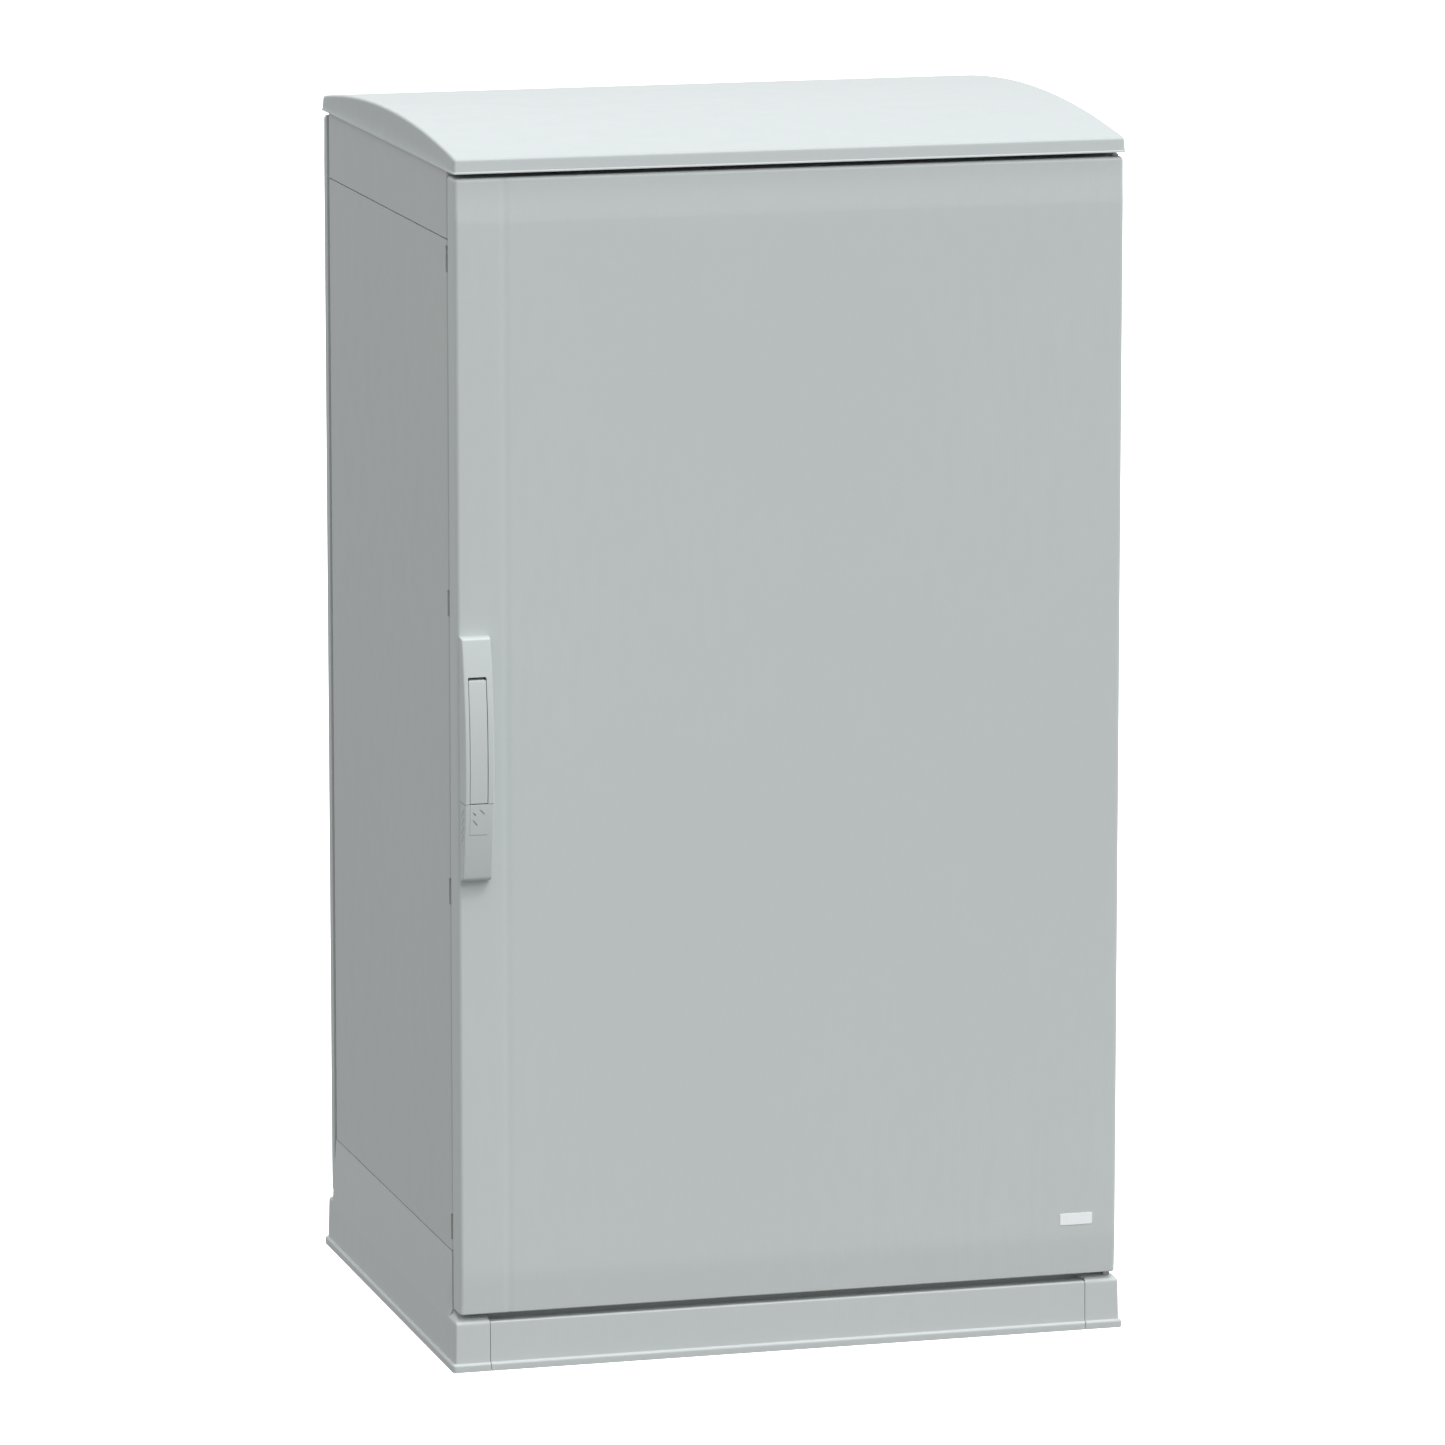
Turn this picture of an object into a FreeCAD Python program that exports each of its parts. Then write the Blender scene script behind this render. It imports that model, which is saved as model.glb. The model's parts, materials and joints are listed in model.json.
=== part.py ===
import FreeCAD, Part
import math
import os

# Free-standing outdoor service cabinet, moulded in glass-reinforced polyester, on a low plinth.
# Millimetres. +X is to the right of a person facing the door, -Y is the door side, +Z is up.
# The origin is on the floor, at the centre of the plinth's footprint.

# ---------------------------------------------------------------- driving dimensions
WALL = 4.0                  # wall of the moulded panels
STEEL = 3.0                 # sheet and angle thickness of the steel parts
SEAM = 0.6                  # half of the joint line between two panels
COVER_SEAM = 0.35           # half of the joint line between a plinth cover and a corner
BODY_EDGE_R = 3.5           # rounding of the side panels' vertical edges

DOOR_HALF_WIDTH = 390.0
DOOR_BOTTOM = 66.0
DOOR_TOP = 1364.2
DOOR_FACE = -323.2          # front face of the door
DOOR_BACK = -289.0          # rear edge of the door's folded rim
DOOR_EDGE_R = 4.0
DOOR_LOW_CREASE = 111.0     # the face leans back below this height and above the next one
DOOR_HIGH_CREASE = 1317.0
DOOR_LOW_LEAN = 2.4
DOOR_HIGH_LEAN = 1.8
GROOVE_X = -333.5           # shallow upright groove in the door's face
GROOVE_R = 44.0
GROOVE_DEPTH = 0.6
LABEL_LEFT = 322.4
LABEL_RIGHT = 361.1
LABEL_LOW = 126.0
LABEL_HIGH = 139.5
LABEL_THICK = 0.5

BODY_HALF_WIDTH = 389.3
BODY_FRONT = -281.0
BODY_REAR = 300.0
BODY_BOTTOM = 132.6         # joint line between plinth and side panel
PANEL_TOP = 1292.0          # joint line between side panel and top frame
BODY_TOP = 1369.0
RETURN_EDGE = 322.0         # half width of the clear door opening
LIP_DEPTH = 10.0            # turned-in lip round the opening
CORNER_GAP = 0.5            # between a moulded wall and the steel behind it
BODY_MIDDLE_Y = (BODY_FRONT + BODY_REAR) / 2.0

REAR_PANEL_NEAR = 306.0
REAR_PANEL_FACE = 324.6
REAR_SEAL_BACK = 304.0

CANOPY_HALF_X = 392.2
CANOPY_HALF_Y = 324.6
CANOPY_BOTTOM = 1369.5
CANOPY_EAVE = 1386.5        # height where the fascia meets the arched top
CANOPY_CROWN = 1408.0
CANOPY_DRAFT = 2.0          # lean of the front and rear fascias

PLINTH_FOOT_X = 396.2       # plinth wall at the floor
PLINTH_FOOT_Y = 320.4
PLINTH_RIM_X = 394.6        # plinth wall at the level of the cover's top edge
PLINTH_RIM_Y = 318.8
PLINTH_WAIST_X = 389.5      # plinth wall where it meets the side panel
PLINTH_RIM = 55.5
PLINTH_CAP = 60.6
FLANGE_X = 399.0
FLANGE_Y = 323.2
FLANGE_HEIGHT = 6.5
FLANGE_BLEND = 10.0
COVER_JOINT_X = 354.5       # joint between corner return and front or rear cover
CAP_INSET_X = 4.0           # slope of the corner cap between rim and top
CAP_INSET_Y = 8.0
PLINTH_CORNER_R = 2.0       # upright corners of the plinth wall
FLANGE_CORNER_R = 4.0       # corners of its spreading foot
SKIRT_LOW = 30.0            # lower edge of the sills' outer faces

RAIL_TOP = 62.0
RAIL_OUTER = 388.0
RAIL_INNER = 345.0
ANCHOR_X = 365.0
ANCHOR_Y = 250.0
ANCHOR_R = 7.0

M8_HOLE_R = 4.5             # clearance holes
M6_HOLE_R = 3.2
M4_HOLE_R = 2.2

HINGE_X = 383.0
HINGE_Y = -307.0
PIN_R = 3.0
RUNNING_CLEARANCE = 0.05
BUSH_R = 4.2
BUSH_FLANGE = 1.6
HINGE_SCREW_X = HINGE_X - 16.0
LOW_SHELF = PLINTH_RIM - STEEL - 0.5    # underside of the lower hinge bracket's shelf
HIGH_SHELF = BODY_TOP + 0.2

FRAME_OUTER_X = 343.0       # stiffening channels of door and rear panel, and the seals on them
FRAME_INNER_X = 325.0
FRAME_BACK = -291.0
SEAL_OUTER_X = 341.0
SEAL_INNER_X = 327.0
FRAME_LOW = 104.0
FRAME_HIGH = 1326.0
RING_INSET = 2.0            # the seal is this much narrower than its channels, on each edge
CHANNEL_WEB = 2.0

HANDLE_X = -371.0
HANDLE_HALF_WIDTH = 17.0
HANDLE_LOW = 571.0
HANDLE_HIGH = 849.0
HANDLE_MIDDLE = 710.0
HANDLE_DEPTH = 27.0         # largest stand-out from the door's face
HANDLE_ARC_R = 612.0
HANDLE_END_R = 5.0
HANDLE_SEAM = 661.8         # joint between the housing and the lock cover
LEVER_X = HANDLE_X - 0.9
LEVER_HALF_WIDTH = 10.1
LEVER_TOP = 803.0
LEVER_SINK = 0.3            # the lever's face lies this far behind the housing's
LEVER_PIVOT_Y = -335.0
LEVER_PIVOT_Z = 795.0
PIVOT_PIN_R = 2.5
CRANK_R = 23.7
CRANK_REST_DEG = 25.0
CRANK_HALF_THICK = 2.5
DRIVE_PIN_R = 2.4
RIVET_Y = LEVER_PIVOT_Y - 1.0
RIVET_Z = 773.0
RIVET_HOLE_R = 1.5

ROD_FRONT = -304.0
ROD_BACK = -300.0
ROD_HALF_WIDTH = 8.0
ROD_LOW = 140.0
ROD_HIGH = 1290.0
LATCH_HEIGHTS = (160.5, 550.0, 880.0, 1269.5)
NOTCH_HALF_HEIGHT = 15.0
GUIDE_HEIGHTS = (250.0, 430.0, 1000.0, 1160.0)

BARREL_Z = 652.0
BARREL_R = 8.0
BARREL_FRONT = DOOR_FACE - 18.0
TONGUE_REACH = 14.3
TONGUE_THICK = 2.8
TONGUE_FRONT = DOOR_FACE - 15.8
TONGUE_HALF_WIDTH = 4.5
TONGUE_ROOT = 6.4
SEAT_LOW = 595.0            # lock seat under the sliding cover: its foot, then its taller part
SEAT_STEP = 625.0
SEAT_HALF_WIDTH = 14.7
SEAT_NECK_HALF = 13.2
COVER_WALL = 2.0
BADGE_LOW = 626.5
BADGE_PROUD = 0.35
GRIP_HEIGHTS = (650.0, 640.5, 631.0, 621.5)

UPRIGHT_LEG = 40.0
UPRIGHT_TOP = 1364.5
PLATE_Y = 240.0             # front face of the mounting plate
PLATE_HALF_X = 340.0
PLATE_LOW = 200.0
PLATE_HIGH = 1250.0
PLATE_THICK = 2.5
BRACKET_HEIGHTS = (260.0, 725.0, 1190.0)
REAR_SCREW_HEIGHTS = (200.0, 500.0, 930.0, 1230.0)
GROMMET_R = 32.0
GROMMET_X = (-210.0, -70.0, 70.0, 210.0)
GROMMET_Y = 150.0
EARTH_X = -300.0
EARTH_Z = 225.0


# ---------------------------------------------------------------- shape helpers
def vec(x, y, z):
    return FreeCAD.Vector(x, y, z)


def block(x0, x1, y0, y1, z0, z1):
    return Part.makeBox(x1 - x0, y1 - y0, z1 - z0, vec(x0, y0, z0))


def rod_x(x0, x1, y, z, radius):
    return Part.makeCylinder(radius, x1 - x0, vec(x0, y, z), vec(1, 0, 0))


def rod_y(y0, y1, x, z, radius):
    return Part.makeCylinder(radius, y1 - y0, vec(x, y0, z), vec(0, 1, 0))


def rod_z(z0, z1, x, y, radius):
    return Part.makeCylinder(radius, z1 - z0, vec(x, y, z0), vec(0, 0, 1))


def mirrored(shape):
    """The same shape on the other side of the cabinet."""
    return shape.mirror(vec(0, 0, 0), vec(1, 0, 0))


def front_to_rear(shape):
    """The same shape at the other end of the body, front for rear."""
    return shape.mirror(vec(0, BODY_MIDDLE_Y, 0), vec(0, 1, 0))


def joined(shapes):
    whole = shapes[0]
    for shape in shapes[1:]:
        whole = whole.fuse(shape)
    return whole.removeSplitter()


def minus(shape, cutters):
    for cutter in cutters:
        shape = shape.cut(cutter)
    return shape


def group(solids):
    return Part.makeCompound(solids)


def outline_x(points, x0, x1):
    """Extrude a closed outline of (y, z) points from x0 to x1."""
    wire = Part.makePolygon([vec(x0, y, z) for y, z in points + points[:1]])
    return Part.Face(wire).extrude(vec(x1 - x0, 0, 0))


def outline_y(points, y0, y1):
    """Extrude a closed outline of (x, z) points from y0 to y1."""
    wire = Part.makePolygon([vec(x, y0, z) for x, z in points + points[:1]])
    return Part.Face(wire).extrude(vec(0, y1 - y0, 0))


def ring(half_x, low, high, width, y0, y1):
    """Rectangular ring round the door opening."""
    outer = block(-half_x, half_x, y0, y1, low, high)
    inner = block(-half_x + width, half_x - width, y0 - 1, y1 + 1, low + width, high - width)
    return outer.cut(inner)


def rounded(shape, radius, wanted):
    """Round the edges whose two end points pass the test."""
    edges = []
    for edge in shape.Edges:
        start = edge.Vertexes[0].Point
        end = edge.Vertexes[-1].Point
        if wanted(start, end):
            edges.append(edge)
    return shape.makeFillet(radius, edges)


def tapered(foot_x, foot_y, top_x, top_y, z0, z1, corner_r):
    """Block with upright rounded corners that narrows from z0 to z1."""
    wires = []
    for half_x, half_y, z in ((foot_x, foot_y, z0), (top_x, top_y, z1)):
        wires.append(rounded_rectangle(half_x, half_y, z, corner_r))
    return Part.makeLoft(wires, True, True)


def rounded_rectangle(half_x, half_y, z, r):
    slant = r * (1.0 - math.sqrt(0.5))
    edges = []
    corners = ((1, 1), (-1, 1), (-1, -1), (1, -1))
    for index, (sx, sy) in enumerate(corners):
        before = vec(sx * half_x, sy * (half_y - r), z)
        after = vec(sx * (half_x - r), sy * half_y, z)
        if sx * sy < 0:
            before, after = after, before
        middle = vec(sx * (half_x - slant), sy * (half_y - slant), z)
        edges.append(Part.Arc(before, middle, after).toShape())
        nx, ny = corners[(index + 1) % 4]
        next_x = nx * (half_x if nx * ny > 0 else half_x - r)
        next_y = ny * (half_y - r if nx * ny > 0 else half_y)
        edges.append(Part.makeLine(after, vec(next_x, next_y, z)))
    return Part.Wire(edges)


def hex_bolt(radius, length, head_height, base, direction):
    """Bolt with a hexagon head; base is under the head and direction runs along the shank."""
    axis = vec(*direction)
    start = vec(*base)
    across_corners = radius * 1.85
    shank = Part.makeCylinder(radius, length, start, axis)
    side = vec(0, 0, 1) if abs(axis.z) < 0.5 else vec(1, 0, 0)
    across = axis.cross(side)
    corners = []
    for index in range(7):
        angle = math.radians(60 * index)
        offset = side * (across_corners * math.cos(angle)) + across * (across_corners * math.sin(angle))
        corners.append(start + offset)
    head = Part.Face(Part.makePolygon(corners)).extrude(axis * -head_height)
    return shank.fuse(head).removeSplitter()


def pan_screw(radius, length, base, direction):
    """Screw with a round head; base is under the head and direction runs along the shank."""
    axis = vec(*direction)
    start = vec(*base)
    head_r = radius * 1.9
    head_height = radius * 1.1
    shank = Part.makeCylinder(radius, length, start, axis)
    head = Part.makeCylinder(head_r, head_height, start - axis * head_height, axis)
    socket = Part.makeCylinder(radius * 0.8, head_height * 0.6, start - axis * head_height, axis)
    return shank.fuse(head).removeSplitter().cut(socket)


# ---------------------------------------------------------------- plinth
def plinth_shell(top, top_half_x, top_half_y):
    """Four-sided plinth wall with its spreading foot, open above and below."""
    outer = joined([
        tapered(PLINTH_FOOT_X, PLINTH_FOOT_Y, top_half_x, top_half_y, 0.0, top, PLINTH_CORNER_R),
        tapered(FLANGE_X, FLANGE_Y, FLANGE_X - 0.3, FLANGE_Y - 0.3, 0.0, FLANGE_HEIGHT, FLANGE_CORNER_R),
        tapered(FLANGE_X - 0.8, FLANGE_Y - 0.8, PLINTH_FOOT_X - 0.4, PLINTH_FOOT_Y - 0.4,
                FLANGE_HEIGHT, FLANGE_BLEND, FLANGE_CORNER_R - 0.5),
    ])
    hollow = tapered(PLINTH_FOOT_X - WALL, PLINTH_FOOT_Y - WALL, top_half_x - WALL, top_half_y - WALL,
                     0.0, top, PLINTH_CORNER_R)
    return outer.cut(hollow)


def plinth_side():
    """Left side moulding: side wall up to the side panel, with a return round each corner."""
    shell = plinth_shell(PLINTH_RIM, PLINTH_RIM_X, PLINTH_RIM_Y)
    joint = -COVER_JOINT_X - COVER_SEAM
    shell = shell.common(block(-FLANGE_X - 1, joint, -FLANGE_Y - 1, FLANGE_Y + 1, 0, PLINTH_RIM))

    cap = tapered(PLINTH_RIM_X, PLINTH_RIM_Y, PLINTH_RIM_X - CAP_INSET_X, PLINTH_RIM_Y - CAP_INSET_Y,
                  PLINTH_RIM, PLINTH_CAP, PLINTH_CORNER_R)
    front_cap = cap.common(block(-FLANGE_X, joint, -FLANGE_Y, BODY_FRONT - STEEL - 1.0,
                                 PLINTH_RIM, PLINTH_CAP))
    rear_cap = cap.common(block(-FLANGE_X, joint, BODY_REAR + 0.5, FLANGE_Y, PLINTH_RIM, PLINTH_CAP))

    upper = outline_y([
        (-PLINTH_RIM_X, PLINTH_RIM), (-PLINTH_WAIST_X, BODY_BOTTOM - SEAM),
        (-PLINTH_WAIST_X + WALL, BODY_BOTTOM - SEAM), (-PLINTH_RIM_X + WALL, PLINTH_RIM),
    ], BODY_FRONT, BODY_REAR)
    inner = -PLINTH_WAIST_X + WALL
    front_end = outline_y([
        (-PLINTH_RIM_X + 1.0, PLINTH_RIM), (-PLINTH_WAIST_X + 1.0, BODY_BOTTOM - SEAM),
        (inner, BODY_BOTTOM - SEAM), (inner, PLINTH_RIM),
    ], BODY_FRONT, BODY_FRONT + WALL)
    return joined([shell, front_cap, rear_cap, upper, front_end, front_to_rear(front_end)])


def plinth_cover(front):
    """Removable cover between the two side mouldings."""
    top = PLINTH_RIM - 0.5
    shell = plinth_shell(top, PLINTH_RIM_X, PLINTH_RIM_Y)
    reach = COVER_JOINT_X - COVER_SEAM
    cover = shell.common(block(-reach, reach, -FLANGE_Y - 1, 0, 0, PLINTH_RIM))
    lip = block(-reach, reach, -PLINTH_RIM_Y + WALL - 1.0, -PLINTH_RIM_Y + WALL + 14.0,
                top - WALL, top)
    cover = cover.fuse(lip).removeSplitter()
    return cover if front else cover.mirror(vec(0, 0, 0), vec(0, 1, 0))


def base_rail():
    """Left steel channel that stands on the floor and carries the sills."""
    front = BODY_FRONT + 5.0
    rear = BODY_REAR - 5.0
    rail = joined([
        block(-RAIL_OUTER, -RAIL_OUTER + STEEL, front, rear, 0.0, RAIL_TOP),
        block(-RAIL_OUTER, -RAIL_INNER, front, rear, 0.0, STEEL),
        block(-RAIL_OUTER, -RAIL_INNER, front, rear, RAIL_TOP - STEEL, RAIL_TOP),
    ])
    holes = [rod_z(-1, STEEL + 1, -ANCHOR_X, side * ANCHOR_Y, ANCHOR_R) for side in (-1, 1)]
    holes += [rod_z(RAIL_TOP - STEEL - 1, RAIL_TOP + 1, -ANCHOR_X, y, M8_HOLE_R) for y in sill_bolt_places()]
    return minus(rail, holes)


def sill_bolt_places():
    return (BODY_FRONT + 24.0, BODY_REAR - 24.0)


def front_sill():
    """Moulded beam behind the lower edge of the door."""
    half = PLINTH_WAIST_X - WALL - 0.8
    depth = 44.0
    upright_reach = RAIL_INNER - 1.5
    sill = joined([
        block(-half, half, BODY_FRONT, BODY_FRONT + WALL, SKIRT_LOW, BODY_BOTTOM - SEAM),
        block(-half, half, BODY_FRONT, BODY_FRONT + depth, RAIL_TOP, RAIL_TOP + WALL),
        block(-upright_reach, upright_reach, BODY_FRONT, BODY_FRONT + depth,
              BODY_BOTTOM - SEAM - WALL, BODY_BOTTOM - SEAM),
    ])
    holes = [rod_z(RAIL_TOP - 1, RAIL_TOP + WALL + 1, side * ANCHOR_X, sill_bolt_places()[0], M8_HOLE_R)
             for side in (-1, 1)]
    holes += [rod_z(BODY_BOTTOM - SEAM - WALL - 1, BODY_BOTTOM, x, gland_screw_y(), M6_HOLE_R)
              for x in gland_screw_x()]
    return minus(sill, holes)


def sill_bolts():
    """Bolts that hold the two sills down on the base rails."""
    bolts = []
    for x in (-ANCHOR_X, ANCHOR_X):
        for y in sill_bolt_places():
            bolts.append(hex_bolt(4.0, 16.0, 5.3, (x, y, RAIL_TOP + WALL), (0, 0, -1)))
    return group(bolts)


# ---------------------------------------------------------------- body
def side_panel():
    """Left side panel with a wide return at the front and rear and a stiffening lip on each."""
    low = BODY_BOTTOM + SEAM
    high = PANEL_TOP - SEAM
    outer = -BODY_HALF_WIDTH
    body = joined([
        block(outer, outer + WALL, BODY_FRONT, BODY_REAR, low, high),
        block(outer, -RETURN_EDGE, BODY_FRONT, BODY_FRONT + WALL, low, high),
        block(-RETURN_EDGE - WALL, -RETURN_EDGE, BODY_FRONT, BODY_FRONT + LIP_DEPTH, low, high),
        block(outer, -RETURN_EDGE, BODY_REAR - WALL, BODY_REAR, low, high),
        block(-RETURN_EDGE - WALL, -RETURN_EDGE, BODY_REAR - LIP_DEPTH, BODY_REAR, low, high),
    ])
    body = rounded(body, BODY_EDGE_R, lambda a, b: abs(a.z - b.z) > 100 and abs(a.x - outer) < 0.1)
    notches = [block(outer - 1, outer + 6.0, BODY_FRONT - 1, BODY_FRONT + 5.0,
                     z - NOTCH_HALF_HEIGHT, z + NOTCH_HALF_HEIGHT) for z in LATCH_HEIGHTS]
    return minus(body, notches)


def side_panel_left():
    """The lock side: drilled for the keepers and for the rear panel's screws."""
    holes = [rod_y(BODY_FRONT - 1, BODY_FRONT + WALL + 1, x, z, M4_HOLE_R)
             for x, z in keeper_screw_places()]
    return minus(side_panel(), holes + rear_screw_holes(-1))


def side_panel_right():
    return minus(mirrored(side_panel()), rear_screw_holes(1))


def rear_screw_holes(side):
    return [rod_y(BODY_REAR - 9.0, BODY_REAR + 1, side * ANCHOR_X, z, M6_HOLE_R)
            for z in REAR_SCREW_HEIGHTS]


def top_frame():
    """Moulded ring over the panels; its front is the lintel behind the door's upper edge."""
    outer = BODY_HALF_WIDTH
    low = PANEL_TOP + SEAM
    shell = rounded(block(-outer, outer, BODY_FRONT, BODY_REAR, low, BODY_TOP), BODY_EDGE_R,
                    lambda a, b: abs(a.z - b.z) > 20)
    hollow = block(-outer + WALL, outer - WALL, BODY_FRONT + WALL, BODY_REAR - WALL,
                   low - 1, BODY_TOP - WALL)
    rim = 40.0
    mouth = block(-outer + rim, outer - rim, BODY_FRONT + rim, BODY_REAR - rim, low, BODY_TOP + 1)
    lip_reach = RETURN_EDGE - 2.0
    front_lip = block(-lip_reach, lip_reach, BODY_FRONT + WALL, BODY_FRONT + LIP_DEPTH, low, low + WALL)
    frame = minus(shell, [hollow, mouth])
    frame = joined([frame, front_lip, front_to_rear(front_lip)])
    holes = [rod_y(BODY_FRONT - 1, BODY_FRONT + WALL + 1, HINGE_SCREW_X, z, M4_HOLE_R)
             for z in hinge_screw_heights(True)]
    return minus(frame, holes)


def upright(front):
    """Left steel angle in a corner of the body."""
    x0 = -BODY_HALF_WIDTH + WALL + CORNER_GAP
    y0 = BODY_FRONT + WALL + CORNER_GAP
    z0 = RAIL_TOP + WALL + 0.1
    angle = joined([
        block(x0, x0 + STEEL, y0, y0 + UPRIGHT_LEG, z0, UPRIGHT_TOP),
        block(x0, x0 + UPRIGHT_LEG, y0, y0 + STEEL, z0, UPRIGHT_TOP),
    ])
    pitch = 75.0
    count = int((PANEL_TOP - BODY_BOTTOM) / pitch)
    slots = []
    for index in range(count):
        z = BODY_BOTTOM + 40.0 + index * pitch
        slots.append(rod_x(x0 - 1, x0 + STEEL + 1, y0 + 26.0, z, 3.5))
    angle = minus(angle, slots)
    if front:
        return angle
    rear = front_to_rear(angle)
    holes = [rod_y(BODY_REAR - 9.0, BODY_REAR, -ANCHOR_X, z, M6_HOLE_R) for z in REAR_SCREW_HEIGHTS]
    holes += [rod_x(x0 - 1, x0 + STEEL + 1, bracket_screw_y(), z, M6_HOLE_R) for z in BRACKET_HEIGHTS]
    return minus(rear, holes)


# ---------------------------------------------------------------- roof and canopy
def canopy_bolt_places():
    return [(x, y) for x in (-300.0, 300.0) for y in (-190.0, 210.0)]


def roof_seal():
    reach_x = BODY_HALF_WIDTH - 12.0
    outer = block(-reach_x, reach_x, BODY_FRONT + 12.0, BODY_REAR - 12.0, BODY_TOP, BODY_TOP + 2.0)
    width = 16.0
    inner = block(-reach_x + width, reach_x - width, BODY_FRONT + 12.0 + width, BODY_REAR - 12.0 - width,
                  BODY_TOP - 1, BODY_TOP + 3.0)
    return outer.cut(inner)


def roof_panel():
    """Flat plate that closes the body under the canopy."""
    reach_x = BODY_HALF_WIDTH - 10.0
    panel = block(-reach_x, reach_x, BODY_FRONT + 10.0, BODY_REAR - 10.0, BODY_TOP + 2.0, BODY_TOP + 5.0)
    panel = rounded(panel, 8.0, lambda a, b: abs(a.z - b.z) > 2)
    holes = [rod_z(BODY_TOP, BODY_TOP + 8.0, x, y, M8_HOLE_R) for x, y in canopy_bolt_places()]
    return minus(panel, holes)


def canopy_block(inset):
    """Arched block; inset moves every face inwards by the same distance."""
    half_y = CANOPY_HALF_Y - inset
    eave_y = CANOPY_HALF_Y - CANOPY_DRAFT - inset
    eave_z = CANOPY_EAVE - inset
    crown_z = CANOPY_CROWN - inset
    half_x = CANOPY_HALF_X - inset
    edges = [
        Part.makeLine(vec(-half_x, -half_y, CANOPY_BOTTOM), vec(-half_x, -eave_y, eave_z)),
        Part.Arc(vec(-half_x, -eave_y, eave_z), vec(-half_x, 0, crown_z),
                 vec(-half_x, eave_y, eave_z)).toShape(),
        Part.makeLine(vec(-half_x, eave_y, eave_z), vec(-half_x, half_y, CANOPY_BOTTOM)),
        Part.makeLine(vec(-half_x, half_y, CANOPY_BOTTOM), vec(-half_x, -half_y, CANOPY_BOTTOM)),
    ]
    return Part.Face(Part.Wire(edges)).extrude(vec(2 * half_x, 0, 0))


def canopy():
    """Rain canopy: an arched shell with a short skirt all round."""
    solid = rounded(canopy_block(0.0), 3.0, lambda a, b: max(a.z, b.z) > CANOPY_BOTTOM + 1)
    return solid.cut(canopy_block(WALL))


def canopy_bosses():
    """Threaded bosses bonded under the canopy; they stand on the roof panel."""
    base = BODY_TOP + 5.0
    under_skin = canopy_block(WALL)
    bosses = []
    for x, y in canopy_bolt_places():
        boss = rod_z(base, CANOPY_CROWN, x, y, 10.0).common(under_skin)
        bosses.append(boss.cut(rod_z(base - 1, base + 14.0, x, y, 4.1)))
    return group(bosses)


def canopy_bolts():
    """Bolts put up through the roof panel from inside the cabinet."""
    under = BODY_TOP + 2.0
    return group([hex_bolt(3.9, 15.0, 5.3, (x, y, under), (0, 0, 1)) for x, y in canopy_bolt_places()])


# ---------------------------------------------------------------- rear panel
def rear_panel():
    """Fixed tray at the back, as wide and as high as the door."""
    half = DOOR_HALF_WIDTH
    tray = block(-half, half, REAR_PANEL_NEAR, REAR_PANEL_FACE, DOOR_BOTTOM, DOOR_TOP)
    tray = rounded(tray, DOOR_EDGE_R, lambda a, b: min(a.y, b.y) > REAR_PANEL_FACE - 0.1
                   or abs(a.y - b.y) > 10)
    inside = REAR_PANEL_FACE - WALL
    tray = tray.cut(block(-half + WALL, half - WALL, REAR_PANEL_NEAR - 1, inside,
                          DOOR_BOTTOM + WALL, DOOR_TOP - WALL))
    bosses = [rod_y(BODY_REAR, inside + 1, side * ANCHOR_X, z, 8.0)
              for side in (-1, 1) for z in REAR_SCREW_HEIGHTS]
    bores = [rod_y(BODY_REAR - 1, BODY_REAR + 14.0, side * ANCHOR_X, z, 3.1)
             for side in (-1, 1) for z in REAR_SCREW_HEIGHTS]
    return minus(joined([tray] + bosses), bores)


def rear_stiffener():
    return channels(REAR_PANEL_FACE - WALL, REAR_SEAL_BACK)


def rear_seal():
    return ring(SEAL_OUTER_X, FRAME_LOW + RING_INSET, FRAME_HIGH - RING_INSET,
                SEAL_OUTER_X - SEAL_INNER_X, BODY_REAR, REAR_SEAL_BACK)


def rear_panel_screws():
    """Screws put in from inside through the rear uprights."""
    base = BODY_REAR - WALL - CORNER_GAP - STEEL
    return group([pan_screw(3.0, 20.0, (side * ANCHOR_X, base, z), (0, 1, 0))
                  for side in (-1, 1) for z in REAR_SCREW_HEIGHTS])


# ---------------------------------------------------------------- inside the cabinet
def gland_screw_x():
    return (-300.0, 0.0, 300.0)


def gland_screw_y():
    return BODY_FRONT + 30.0


def gland_plate():
    """Bottom plate with four round cable entries, notched round the uprights."""
    z0 = BODY_BOTTOM - SEAM
    side_reach = BODY_HALF_WIDTH - WALL - 4.0
    upright_reach = RAIL_INNER - 1.5
    y0 = BODY_FRONT + WALL + CORNER_GAP
    y1 = BODY_REAR - WALL - CORNER_GAP
    plate = joined([
        block(-side_reach, side_reach, y0 + UPRIGHT_LEG + 1.0, y1 - UPRIGHT_LEG - 1.0, z0, z0 + STEEL),
        block(-upright_reach + 24.0, upright_reach - 24.0, y0 + 16.0, y1 - 16.0, z0, z0 + STEEL),
    ])
    holes = [rod_z(z0 - 1, z0 + STEEL + 1, x, GROMMET_Y, GROMMET_R) for x in GROMMET_X]
    for x in gland_screw_x():
        for y in (gland_screw_y(), 2 * BODY_MIDDLE_Y - gland_screw_y()):
            holes.append(rod_z(z0 - 1, z0 + STEEL + 1, x, y, M6_HOLE_R))
    return minus(plate, holes)


def gland_plate_screws():
    top = BODY_BOTTOM - SEAM + STEEL
    screws = []
    for x in gland_screw_x():
        for y in (gland_screw_y(), 2 * BODY_MIDDLE_Y - gland_screw_y()):
            screws.append(pan_screw(3.0, 14.0, (x, y, top), (0, 0, -1)))
    return group(screws)


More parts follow.
